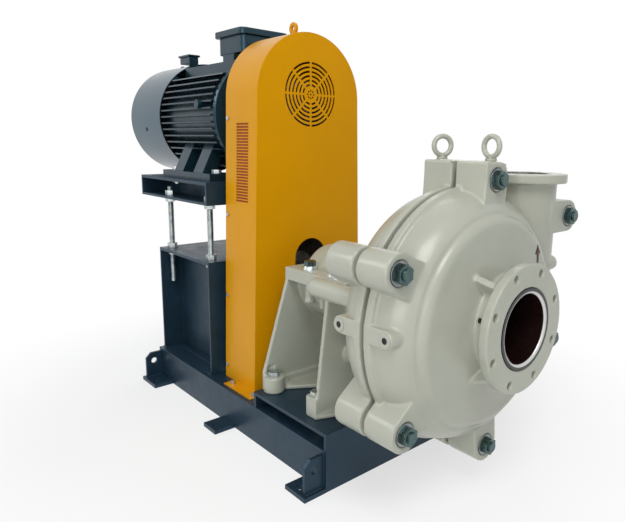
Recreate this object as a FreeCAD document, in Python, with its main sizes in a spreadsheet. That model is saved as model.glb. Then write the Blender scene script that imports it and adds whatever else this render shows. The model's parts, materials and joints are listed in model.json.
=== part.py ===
"""Belt-driven horizontal slurry pump set, 8-inch suction and 6-inch discharge.

Frame: +X along the pump shaft towards the suction flange, +Y across the base,
+Z up. The origin is the centre of the foundation bolt pattern, on the floor.
Lengths are in millimetres. Each sub-part is one object (or one compound of
separate solids) whose sizes are bound to the spreadsheet "Sizes".
"""
import FreeCAD, Part
import math
import os
import Sketcher
from FreeCAD import Placement, Rotation, Vector

SIZES = {
    # foundation
    "foot_pitch": 515.5,        # between neighbouring foundation bolts, along the base
    "foot_bolt_out": 55.4,      # foundation bolts outside the rails
    "foot_hole": 12,            # hole radius
    "foot_half": 42,            # half length of a middle foot
    "foot_reach": 80.4,         # outer edge of the feet outside the rails
    "foot_thick": 15,
    "end_foot_in": 42,          # end feet, from the bolt towards the middle
    "lug_thick": 12,            # lifting lugs
    "lug_top": 122,
    "lug_inset": 12,            # lug from the end of the base
    "lug_hole": 13,
    "lug_hole_z": 84,
    "lug_edge": 10,             # lug short of the foot's edge
    "lug_chamfer": 22,
    # base rails and deck
    "base_back": -600,
    "base_front": 572,
    "base_half": 323.6,
    "rail_tall": 133.7,
    "rail_flange": 75,
    "rail_web": 9,
    "rail_skin": 11,
    "cross_thick": 12,
    "cross_drop": 11,           # cross member below the rail top
    "deck_back": 177.5,
    "deck_top": 190,
    "deck_thick": 12,
    # pedestal
    "stand_front": -165,
    "stand_half": 300,
    "stand_top": 583,
    "stand_plate": 12,
    "stand_wall": 9,
    "stand_web_y": 210,         # outer face of each web from the centre plane
    # motor platform
    "table_back": -760,
    "table_top": 888,
    "table_tall": 87,
    "table_plate": 12,
    "table_wall": 10,
    "table_web_y": 185,
    # threaded rods
    "rod_r": 12,
    "rod_y": 255,
    "rod_back": -570,
    "rod_near": -225,
    "rod_below": 139,           # rod below the pedestal's top plate
    "rod_above": 36,            # rod above the platform's lower flange
    "nut_flats": 36,
    "nut_tall": 19,
    "thread_gap": 0.06,         # running clearance of nuts on the rods
    "hole_gap": 1,              # clearance of bolt holes
    # motor
    "motor_rise": 250,          # motor feet to shaft axis
    "cowl_back": -1000,
    "cowl_front": -674,
    "cowl_r": 242,
    "cowl_skin": 3,
    "cowl_round": 15,
    "motor_back": -670,         # finned frame, fan end
    "motor_front": -232,        # finned frame, drive end
    "motor_face": -190,         # drive-end shield face
    "motor_fin_r": 238,
    "motor_skin_r": 210,
    "motor_bore": 192,
    "fin_pitch": 26,
    "fin_thick": 6,
    "slab_half": 118,
    "slab_rise": 212,           # flat top of the frame above the shaft axis
    "block_back": -341,         # raised block beside the terminal box
    "block_front": -258,
    "block_out": 115,
    "block_wide": 30,
    "block_tall": 25,
    "strut_wide": 76,
    "strut_inset": 84,          # struts from the ends of the foot pads
    "pad_back": -625,           # motor foot pads
    "pad_front": -213,
    "pad_out": 258,
    "pad_in": 150,
    "pad_thick": 28,
    "motor_bolt_y": 203,
    "motor_bolt_span": 349,
    "motor_bolt_front": -258,
    "motor_bolt_r": 11,
    "motor_shaft_r": 32.5,
    "motor_shaft_end": -40,
    "motor_journal": 37.5,
    "stator_r": 125,
    "core_back": -590,
    "core_front": -330,
    "coil_reach": 45,
    "air_gap": 1.2,
    "box_back": -410,           # terminal box
    "box_front": -219,
    "box_half": 98,
    "box_rise": 31,             # box above the flat top of the frame
    "box_tall": 65,
    "box_round": 24,
    "lid_over": 14,
    "lid_thick": 24,
    "neck_inset": 24,
    "sensor_back": -742,        # small auxiliary box
    "sensor_front": -652,
    "sensor_y": -82,
    "sensor_wide": 44,
    "sensor_rise": 24,
    "sensor_tall": 28,
    "sensor_lid": 9,
    # belt drive
    "drive_x": -112,            # outer face of both pulleys
    "pulley_wide": 120,
    "belt_pitch": 22,
    "belt_wide": 14,
    "belt_thick": 11,
    "belt_gap": 0.4,
    "groove_open": 18,
    "groove_deep": 15,
    "groove_floor": 15,
    "motor_pulley_r": 133,
    "pump_pulley_r": 203,
    "hub_r": 62,
    "web_thick": 26,
    # belt guard
    "guard_back": -128,
    "guard_front": 80,
    "guard_arc_rise": 59,       # centre of the round head above the motor axis
    "guard_arc_r": 229,
    "guard_foot": 259,          # half width at the bottom
    "guard_skin": 3,
    "guard_lip": 48,
    "lip_back": -58,
    "lip_front": 125,
    "lip_thick": 4,
    "slot_r": 72,               # shaft opening of the front panel
    "slot_rise": 50,
    "motor_slot_r": 52,
    "motor_slot_run": 50,
    "grille_rise": 14,          # grille above the centre of the head
    "grille_r": 114,
    "grille_hub": 22,
    "grille_rings": 6,
    "grille_dot": 3.5,
    "slit": 7,
    "grille_web": 8,
    "vent_drop": 96,            # top vent below the centre of the head
    "vent_span": 272,
    "vent_tall": 6.5,
    "vent_x": -54,
    "vent_long": 80,
    "guard_eye_r": 22,
    # pump shaft line
    "shaft_z": 561,
    "shaft_back": -104,
    "shaft_pulley_r": 35,
    "shaft_step": 150,
    "journal_r": 45,
    "shaft_mid_r": 54,
    "shaft_front": 748,
    "sleeve_bore": 42,
    "impeller_bore": 34,
    "run_gap": 0.05,
    # bearing assembly
    "housing_back": 250,
    "housing_front": 470,
    "cap_long": 72,             # domed drive-end cover
    "cap_round": 25,
    "housing_r": 118,
    "race_r": 90,
    "race_wide": 46,
    "back_race": 266,
    "front_race": 398,
    "cup_thick": 16,
    "cone_thick": 14,
    "cover_thick": 18,
    "cover_r": 110,
    "cover_bore": 62,
    "ledge_half": 136,
    "ledge_thick": 22,
    # bearing frame
    "cradle_gap": 0.5,
    "cradle_wall": 26,
    "cradle_half": 192,
    "cradle_top": 617,
    "cradle_thick": 46,
    "frame_back": 183,
    "frame_cradle": 500,        # front end of the cradle flange
    "column_back": 400,         # hollow core round the front wall
    "column_front": 545,
    "column_skin": 18,
    "column_core": 70,
    "wall_skin": 15,            # back and front walls
    "wall_foot": 292,
    "wall_sole": 65,
    "wall_band": 11,            # thicker band along the foot of the back wall
    "band_tall": 36,
    "band_half": 262,
    "front_wall": 466,
    "front_half": 243,          # half width of the front wall at the stay tubes
    "sole_tall": 14,
    "sole_deep": 53,            # sole in front of the back wall, beside the toes
    "sole_reach": 117,          # sole in front of the back wall, at its widest
    "sole_half": 232,
    "sole_core": 130,
    "step_half": 200,
    "step_tall": 22,
    "clamp_back": 270,
    "clamp_front": 402,
    "clamp_y": 150,
    "clamp_r": 12,
    "clamp_boss": 16,
    "clamp_collar": 19,
    "boss_drop": 71,            # clamp bosses below the cradle flange
    "collar_tall": 13,
    "spare_boss": 343,
    "toe_y": 264,               # toes and their bolts from the centre plane
    "toe_back": 215,
    "toe_r": 37,
    "toe_tall": 55,
    "toe_room": 32,
    "toe_front": 452,
    "front_toe_half": 28,
    "front_toe_round": 13,
    "front_toe_tall": 66,
    "yoke_r": 172,
    "yoke_bore": 150,
    "tube_r": 31,               # stay tubes that carry the casing
    "tube_back": 389,
    "tube_end": 10,
    "tube_y": 230,
    "tube_rise": 32,            # upper tubes above the shaft axis
    "tube_low_y": 150,
    "tube_drop": 178,           # lower tubes below the shaft axis
    "tube_front": 590,
    "tube_bolt": 10,
    "tube_bolt_in": 36,         # bolts into the frame plate
    "stay_web": 16,
    # casing
    "split_x": 766,
    "split_gap": 5,             # half of the gap between the casing halves
    "rim_r": 373,
    "rim_z": 553,
    "rim_wide": 24,
    "shoulder_r": 112,          # round shoulders of both halves
    "step_r": 300,              # small step round the front wall
    "barrel_r": 51,
    "lug_root": 300,            # lug webs start at this radius
    "top_lug_drop": 60,
    "ear_r": 24,
    "ear_reach": 80,            # ears from the faces of the split
    "ear_long": 52,
    "ear_hole": 8,
    "ear_hole_deep": 30,
    "ear_right_z": 570,
    "ear_left_z": 668,
    "ear_left_y": 395,
    "barrel_long": 106,
    "casing_bolt": 15,
    "casing_nut": 46,
    "spot_r": 34,               # spot faces under the casing nuts
    "spot_deep": 8,
    "bolt_out": 34,             # casing bolts beyond the spot faces
    "eyebolt_r": 35,                # rings of the casing eyebolts
    "eyebolt_wire": 7.5,
    "casing_room": 700,         # half size of the blocks that trim the casing halves
    "suction_x": 1010,
    "suction_r": 178,
    "suction_thick": 28,
    "suction_neck": 140,
    "suction_pcd": 311,
    "suction_hole": 11,
    "outlet_y": 332,
    "outlet_top": 955,
    "outlet_thick": 28,
    "outlet_r": 136,
    "outlet_neck": 106,
    "outlet_pcd": 236,
    "outlet_hole": 10,
    "throat_z": 640,            # outer side of the discharge, where it meets the rim
    "throat_y": 372,
    "knee_z": 775,
    "knee_y": 398,
    "straight_z": 835,
    "hub_back": 560,
    "frame_hub_r": 164,
    "box_seat": 108,
    # wet end
    "liner_back": 690,
    "liner_front": 845,
    "liner_r": 345,
    "liner_wall": 17,
    "liner_eye": 297,
    "pipe_wall": 10,
    "pipe_bore": 75,
    "seat_gap": 0.3,
    "bush_face": 821,
    "bush_tube": 113,
    "bush_bore": 96,
    "back_face": 712,
    "impeller_r": 255,
    "shroud": 17,
    "impeller_back": 716,
    "impeller_front": 817,
    "eye_r": 104,
    "vane_thick": 18,
    # shaft seal
    "sleeve_r": 58,
    "sleeve_back": 500,
    "sleeve_front": 704,
    "box_bore": 76,
    "seal_back": 590,
    "packing_back": 616,
    "packing_wide": 15,
    "gland_back": 566,
    "gland_thick": 20,
    "gland_r": 104,
    "gland_stud": 8,
    "gland_stud_y": 88,
    # casing bolts, across and above the shaft axis
    "bolt_0_y": 24,
    "bolt_0_z": 387,
    "bolt_1_y": -352,
    "bolt_1_z": 178,
    "bolt_2_y": -315,
    "bolt_2_z": -248,
    "bolt_3_y": 45,
    "bolt_3_z": -405,
    "bolt_4_y": 378,
    "bolt_4_z": -141,
    "bolt_5_y": 438,
    "bolt_5_z": 259,
}

CASING_BOLTS = 6
VANES = 5
BELTS = 5

doc = FreeCAD.newDocument("slurry_pump")
sheet = doc.addObject("Spreadsheet::Sheet", "Sizes")
for row, (word, number) in enumerate(SIZES.items(), start=1):
    sheet.set("A%d" % row, word)
    sheet.set("B%d" % row, str(number))
    sheet.setAlias("B%d" % row, word)
doc.recompute()


class Size:
    """A length with its value now and the sheet expression that it follows."""

    def __init__(self, text, value):
        self.text = text
        self.value = value

    def join(self, sign, other, value):
        return Size("(%s %s %s)" % (self.text, sign, as_size(other).text), value)

    def __add__(self, other):
        return self.join("+", other, self.value + as_size(other).value)

    def __sub__(self, other):
        return self.join("-", other, self.value - as_size(other).value)

    def __mul__(self, other):
        return self.join("*", other, self.value * as_size(other).value)

    def __truediv__(self, other):
        return self.join("/", other, self.value / as_size(other).value)

    def __radd__(self, other):
        return as_size(other) + self

    def __rsub__(self, other):
        return as_size(other) - self

    def __rmul__(self, other):
        return as_size(other) * self

    def __neg__(self):
        return Size("(0 - %s)" % self.text, -self.value)


def as_size(thing):
    """Take a Size as it is, and a plain number as a constant."""
    if isinstance(thing, Size):
        return thing
    return Size("(%.9g)" % thing, thing)


def root(size):
    """Square root of a Size."""
    return Size("sqrt(%s)" % size.text, math.sqrt(size.value))


class Sheet:
    """Gives each alias of the spreadsheet as a Size."""

    def __getattr__(self, word):
        return Size("Sizes.%s" % word, float(sheet.get(word)))


S = Sheet()
AXES = {
    "X": Rotation(Vector(0, 1, 0), 90),
    "Y": Rotation(Vector(1, 0, 0), -90),
    "Z": Rotation(),
}
nodes = []


# ---------------------------------------------------------------- building blocks

def bind(obj, **sizes):
    """Bind properties of an object to the sheet."""
    for prop, size in sizes.items():
        obj.setExpression(prop, as_size(size).text)
    return obj


def place(obj, at, turn=None):
    """Put an object at a place that follows the sheet, turned by a fixed rotation."""
    obj.Placement = Placement(Vector(*[as_size(c).value for c in at]), turn or Rotation())
    for axis, size in zip("xyz", at):
        obj.setExpression("Placement.Base." + axis, as_size(size).text)
    return obj


def cylinder(name, radius, length, at, axis="Z"):
    """Cylinder that starts at a point and runs along an axis."""
    obj = doc.addObject("Part::Cylinder", name)
    bind(obj, Radius=radius, Height=length)
    return place(obj, at, AXES[axis])


def cone(name, low, high, length, at, axis="Z"):
    """Cone that starts at a point with one radius and ends with another."""
    obj = doc.addObject("Part::Cone", name)
    bind(obj, Radius1=low, Radius2=high, Height=length)
    return place(obj, at, AXES[axis])


def box(name, low, high):
    """Box between two corners."""
    obj = doc.addObject("Part::Box", name)
    spans = [as_size(b) - as_size(a) for a, b in zip(low, high)]
    bind(obj, Length=spans[0], Width=spans[1], Height=spans[2])
    return place(obj, low)


def hexagon(name, flats, length, at, axis="Z"):
    """Hexagonal prism given by its width across flats."""
    obj = doc.addObject("Part::Prism", name)
    obj.Polygon = 6
    bind(obj, Circumradius=flats / math.sqrt(3), Height=length)
    return place(obj, at, AXES[axis])


def fuse(name, shapes):
    """Join shapes into one solid."""
    obj = doc.addObject("Part::MultiFuse", name)
    obj.Shapes = shapes
    obj.Refine = True
    return obj


def cut(name, base, tools):
    """Take tools away from a base."""
    obj = doc.addObject("Part::Cut", name)
    obj.Base = base
    obj.Tool = tools[0] if len(tools) == 1 else group(name + "_tools", tools)
    return obj


def common(name, shapes):
    """Keep what all shapes share."""
    obj = doc.addObject("Part::MultiCommon", name)
    obj.Shapes = shapes
    return obj


def group(name, shapes):
    """Hold separate solids side by side."""
    obj = doc.addObject("Part::Compound", name)
    obj.Links = shapes
    return obj


def node(name, obj):
    """Declare an object as a sub-part."""
    obj.Label = name
    nodes.append((name, obj))
    return obj


def arc_centre(start, end, radius, side):
    """Centre of the short arc between two points, on the given side of the chord."""
    chord = end - start
    rise = math.sqrt(max(radius ** 2 - chord.Length ** 2 / 4, 0))
    normal = Vector(-chord.y, chord.x, 0).normalize()
    return (start + end) / 2 + normal * rise * side


def draw(sketch, outline):
    """Draw a closed outline; a (radius, side) entry between two points makes an arc."""
    points = [entry for entry in outline if not isinstance(entry, Arc)]
    arcs = {}
    for index, entry in enumerate(outline):
        if isinstance(entry, Arc):
            arcs[len([e for e in outline[:index] if not isinstance(e, Arc)]) - 1] = entry
    spots = [Vector(as_size(u).value, as_size(v).value, 0) for u, v in points]
    total = len(points)
    edges, rules, bound = [], [], []
    for index, start in enumerate(spots):
        end = spots[(index + 1) % total]
        arc = arcs.get(index)
        if arc is None:
            edges.append(Part.LineSegment(start, end))
            continue
        radius = as_size(arc.radius).value
        centre = arc_centre(start, end, radius, arc.side)
        circle = Part.Circle(centre, Vector(0, 0, 1), radius)
        first, last = (start, end) if arc.side > 0 else (end, start)
        angles = [math.atan2(p.y - centre.y, p.x - centre.x) for p in (first, last)]
        edges.append(Part.ArcOfCircle(circle, *angles))
    for index, (u, v) in enumerate(points):
        begin = 2 if index in arcs and arcs[index].side < 0 else 1
        before = (index - 1) % total
        finish = 1 if before in arcs and arcs[before].side < 0 else 2
        rules.append(Sketcher.Constraint("Coincident", before, finish, index, begin))
        for kind, size, spot in (("DistanceX", u, spots[index].x), ("DistanceY", v, spots[index].y)):
            bound.append((len(rules), as_size(size).text))
            rules.append(Sketcher.Constraint(kind, -1, 1, index, begin, spot))
    for index, arc in arcs.items():
        bound.append((len(rules), as_size(arc.radius).text))
        rules.append(Sketcher.Constraint("Radius", index, as_size(arc.radius).value))
    sketch.addGeometry(edges, False)
    sketch.addConstraint(rules)
    for index, text in bound:
        sketch.setExpression("Constraints[%d]" % index, text)


class Arc:
    """An arc between two outline points; side +1 has its centre left of the way on."""

    def __init__(self, radius, side=1):
        self.radius = radius
        self.side = side


def sketched(name, plane, outline, at):
    """Body with one sketch on an origin plane."""
    body = place(doc.addObject("PartDesign::Body", name), at)
    sketch = body.newObject("Sketcher::SketchObject", name + "_outline")
    origin = [f for f in body.Origin.OriginFeatures if f.Role == plane + "_Plane"][0]
    sketch.AttachmentSupport = [(origin, "")]
    sketch.MapMode = "FlatFace"
    draw(sketch, outline)
    return body, sketch


def prism(name, plane, outline, length, at=(0, 0, 0)):
    """Pad of an outline, grown towards the positive side of its plane."""
    body, sketch = sketched(name, plane, outline, at)
    pad = body.newObject("PartDesign::Pad", name + "_pad")
    pad.Profile = sketch
    pad.Reversed = plane == "XZ"
    bind(pad, Length=length)
    return body


def turned(name, outline, at, axis="H_Axis"):
    """Turned piece: an outline of (along, radius) points spun about its own X axis."""
    body, sketch = sketched(name, "XZ", outline, at)
    spin = body.newObject("PartDesign::Revolution", name + "_turn")
    spin.Profile = sketch
    spin.ReferenceAxis = (sketch, [axis])
    spin.Angle = 360
    return body


def ring(name, inner, outer, start, length, at):
    """Plain ring along X, from start on, about the line through a point."""
    far = as_size(start) + length
    return turned(name, [(start, inner), (far, inner), (far, outer), (start, outer)], at)


def rounded(name, base, radius, chosen):
    """Fillet the edges of a body's tip that a test on the edge's middle picks."""
    doc.recompute()
    tip = base.Tip
    picked = []
    for index, edge in enumerate(tip.Shape.Edges, start=1):
        if chosen(edge):
            picked.append("Edge%d" % index)
    fillet = base.newObject("PartDesign::Fillet", name + "_fillet")
    fillet.Base = (tip, picked)
    bind(fillet, Radius=radius)
    return base


def along(edge, axis):
    """True for a straight edge that runs along an axis."""
    if not isinstance(edge.Curve, Part.Line):
        return False
    return abs(abs(edge.Curve.Direction.dot(axis)) - 1) < 1e-6


def around(radius, count, start=0.0):
    """Points on a circle, as (cosine part, sine part, angle in degrees)."""
    for index in range(count):
        angle = start + 360.0 * index / count
        turn = math.radians(angle)
        yield radius * math.cos(turn), radius * math.sin(turn), angle


def threaded(name, bolt, flats, thick, at, axis="Z"):
    """Hexagonal nut with its bore."""
    body = hexagon(name + "_body", flats, thick, at, axis)
    bore = cylinder(name + "_bore", bolt, thick, at, axis)
    return cut(name, body, [bore])


def bolt(name, shank, head, at, length, tall, axis="Z", sign=1):
    """Hexagon bolt: its shank starts at a point, the head sits on that point."""
    x, y, z = at
    back = {"X": (x - tall * sign, y, z), "Y": (x, y - tall * sign, z), "Z": (x, y, z - tall * sign)}[axis]
    start = {"X": (x + length * sign, y, z), "Y": (x, y + length * sign, z), "Z": (x, y, z + length * sign)}[axis]
    low_head = back if sign > 0 else at
    low_shank = at if sign > 0 else start
    cap = hexagon(name + "_head", head, tall, low_head, axis)
    rod = cylinder(name + "_shank", shank, length, low_shank, axis)
    return fuse(name, [cap, rod])


# ---------------------------------------------------------------- base

def build_base():
    end_inside = S.base_front - S.deck_thick
    for word, sign in (("right", -1), ("left", 1)):
        low, high = (-S.base_half, S.rail_flange - S.base_half)
        hollow_low, hollow_high = (S.rail_web - S.base_half, S.rail_flange - S.base_half + 1)
        if sign > 0:
            low, high = S.base_half - S.rail_flange, S.base_half
            hollow_low, hollow_high = S.base_half - S.rail_flange - 1, S.base_half - S.rail_web
        bar = box("rail_%s_bar" % word, (S.base_back, low, 0), (end_inside, high, S.rail_tall))
        hollow = box("rail_%s_hollow" % word, (S.base_back - 1, hollow_low, S.rail_skin),
                     (end_inside + 1, hollow_high, S.rail_tall - S.rail_skin))
        node("base_rail_" + word, cut("rail_" + word, bar, [hollow]))

    inside = S.base_half - S.rail_web
    tall = S.rail_tall - S.cross_drop
    members = []
    for index, start in enumerate((S.base_back, S.stand_front, S.deck_back)):
        members.append(prism("cross_%d" % index, "XZ", [
            (start, S.rail_skin), (start + S.cross_thick, S.rail_skin),
            (start + S.cross_thick, tall), (start, tall)], inside * 2, (0, -inside, 0)))
    node("base_cross_members", group("cross_members", members))

    feet = []
    lugs = []
    reach = S.base_half + S.foot_reach
    for index, sign in enumerate((-1, 1)):
        inner, outer = (S.base_half, reach) if sign > 0 else (-reach, -S.base_half)
        spans = [(S.base_back, S.end_foot_in - S.foot_pitch, -S.foot_pitch),
                 (-S.foot_half, S.foot_half, as_size(0)),
                 (S.foot_pitch - S.end_foot_in, S.base_front, S.foot_pitch)]
        for place_word, (start, end, hole_x) in zip(("back", "middle", "front"), spans):
            name = "foot_%s_%d" % (place_word, index)
            plate = box(name + "_plate", (start, inner, 0), (end, outer, S.foot_thick))
            hole = cylinder(name + "_hole", S.foot_hole, S.foot_thick, (hole_x, sign * (S.base_half + S.foot_bolt_out), 0))
            feet.append(cut(name, plate, [hole]))
        edge = reach - S.lug_edge
        for place_word, start in (("back", S.base_back + S.lug_inset),
                                  ("front", S.base_front - S.lug_inset - S.lug_thick)):
            name = "lug_%s_%d" % (place_word, index)
            plate = prism(name + "_plate", "YZ", [
                (sign * S.base_half, S.foot_thick), (sign * edge, S.foot_thick),
                (sign * edge, S.lug_top - S.lug_chamfer), (sign * (edge - S.lug_chamfer), S.lug_top),
                (sign * S.base_half, S.lug_top)], S.lug_thick, (start, 0, 0))
            hole = cylinder(name + "_hole", S.lug_hole, S.lug_thick,
                            (start, sign * (edge + S.base_half) / 2, S.lug_hole_z), "X")
            lugs.append(cut(name, plate, [hole]))
    node("foundation_feet", group("feet", feet))
    node("lifting_lugs", group("lugs", lugs))

    under = S.deck_top - S.deck_thick
    plate = prism("deck", "XZ", [
        (S.deck_back, S.rail_tall), (S.deck_back + S.deck_thick, S.rail_tall),
        (S.deck_back + S.deck_thick, under), (end_inside, under),
        (end_inside, S.deck_top), (S.deck_back, S.deck_top)], S.base_half * 2, (0, -S.base_half, 0))
    holes = [cylinder("deck_hole_" + word, S.clamp_r + S.hole_gap, S.deck_thick + 2, (x, y, under - 1))
             for word, x, y, tall in toe_places()]
    node("pump_deck", cut("deck_drilled", plate, holes))
    node("deck_end_plate", box("deck_end", (end_inside, -S.base_half, 0),
                               (S.base_front, S.base_half, S.deck_top)))


def build_pedestal():
    low = S.rail_tall
    block = box("stand_block", (S.base_back, -S.stand_half, low), (S.stand_front, S.stand_half, S.stand_top))
    under = S.stand_top - S.stand_plate
    inner = (S.base_back + S.stand_wall, S.stand_front - S.stand_wall)
    tools = [
        box("stand_recess_right", (inner[0], -S.stand_half - 1, low - 1), (inner[1], -S.stand_web_y, under)),
        box("stand_recess_left", (inner[0], S.stand_web_y, low - 1), (inner[1], S.stand_half + 1, under)),
        box("stand_well", (inner[0], S.stand_wall - S.stand_web_y, low - 1),
            (inner[1], S.stand_web_y - S.stand_wall, under)),
    ]
    tools += rod_holes("stand", S.stand_top - S.stand_plate - 1, S.stand_plate + 2)
    node("motor_pedestal", cut("pedestal", block, tools))


def rod_places():
    """The four threaded rods as (name, x, y)."""
    for back_word, x in (("back", S.rod_back), ("near", S.rod_near)):
        for side_word, y in (("right", -S.rod_y), ("left", S.rod_y)):
            yield back_word + "_" + side_word, x, y


def rod_holes(name, start, length):
    return [cylinder("%s_hole_%s" % (name, word), S.rod_r + S.hole_gap, length, (x, y, start))
            for word, x, y in rod_places()]


def build_rods():
    flange = S.table_top - S.table_tall + S.table_wall
    rods, stand_nuts, table_nuts = [], [], []
    low = S.stand_top - S.stand_plate - S.rod_below
    for word, x, y in rod_places():
        rods.append(cylinder("rod_" + word, S.rod_r, flange + S.rod_above - low, (x, y, low)))
        for level, z in (("under", S.stand_top - S.stand_plate - S.nut_tall), ("over", S.stand_top)):
            stand_nuts.append(threaded("stand_nut_%s_%s" % (level, word), S.rod_r + S.thread_gap,
                                       S.nut_flats, S.nut_tall, (x, y, z)))
        for level, z in (("under", flange - S.table_wall - S.nut_tall), ("over", flange)):
            table_nuts.append(threaded("table_nut_%s_%s" % (level, word), S.rod_r + S.thread_gap,
                                       S.nut_flats, S.nut_tall, (x, y, z)))
    node("jacking_rods", group("rods", rods))
    node("pedestal_nuts", group("stand_nuts", stand_nuts))
    node("platform_nuts", group("table_nuts", table_nuts))


def motor_bolt_places():
    """The four motor bolts as (name, x, y)."""
    for end_word, x in (("front", S.motor_bolt_front), ("back", S.motor_bolt_front - S.motor_bolt_span)):
        for side_word, y in (("right", -S.motor_bolt_y), ("left", S.motor_bolt_y)):
            yield end_word + "_" + side_word, x, y


def build_platform():
    low = S.table_top - S.table_tall
    block = box("table_block", (S.table_back, -S.stand_half, low), (S.stand_front, S.stand_half, S.table_top))
    x_in = (S.table_back + S.table_wall, S.stand_front - S.table_wall)
    z_in = (low + S.table_wall, S.table_top - S.table_plate)
    tools = [
        box("table_recess_right", (x_in[0], -S.stand_half - 1, z_in[0]), (x_in[1], -S.table_web_y, z_in[1])),
        box("table_recess_left", (x_in[0], S.table_web_y, z_in[0]), (x_in[1], S.stand_half + 1, z_in[1])),
        box("table_well", (x_in[0], S.table_wall - S.table_web_y, low - 1),
            (x_in[1], S.table_web_y - S.table_wall, z_in[1])),
    ]
    tools += rod_holes("table", low - 1, S.table_wall + 2)
    for word, x, y in motor_bolt_places():
        tools.append(cylinder("table_bolt_hole_" + word, S.motor_bolt_r + S.hole_gap,
                              S.table_plate + 2, (x, y, z_in[1] - 1)))
    node("motor_platform", cut("platform", block, tools))


# ---------------------------------------------------------------- motor

def motor_axis():
    return S.table_top + S.motor_rise


def slab_top():
    return motor_axis() + S.slab_rise


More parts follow.
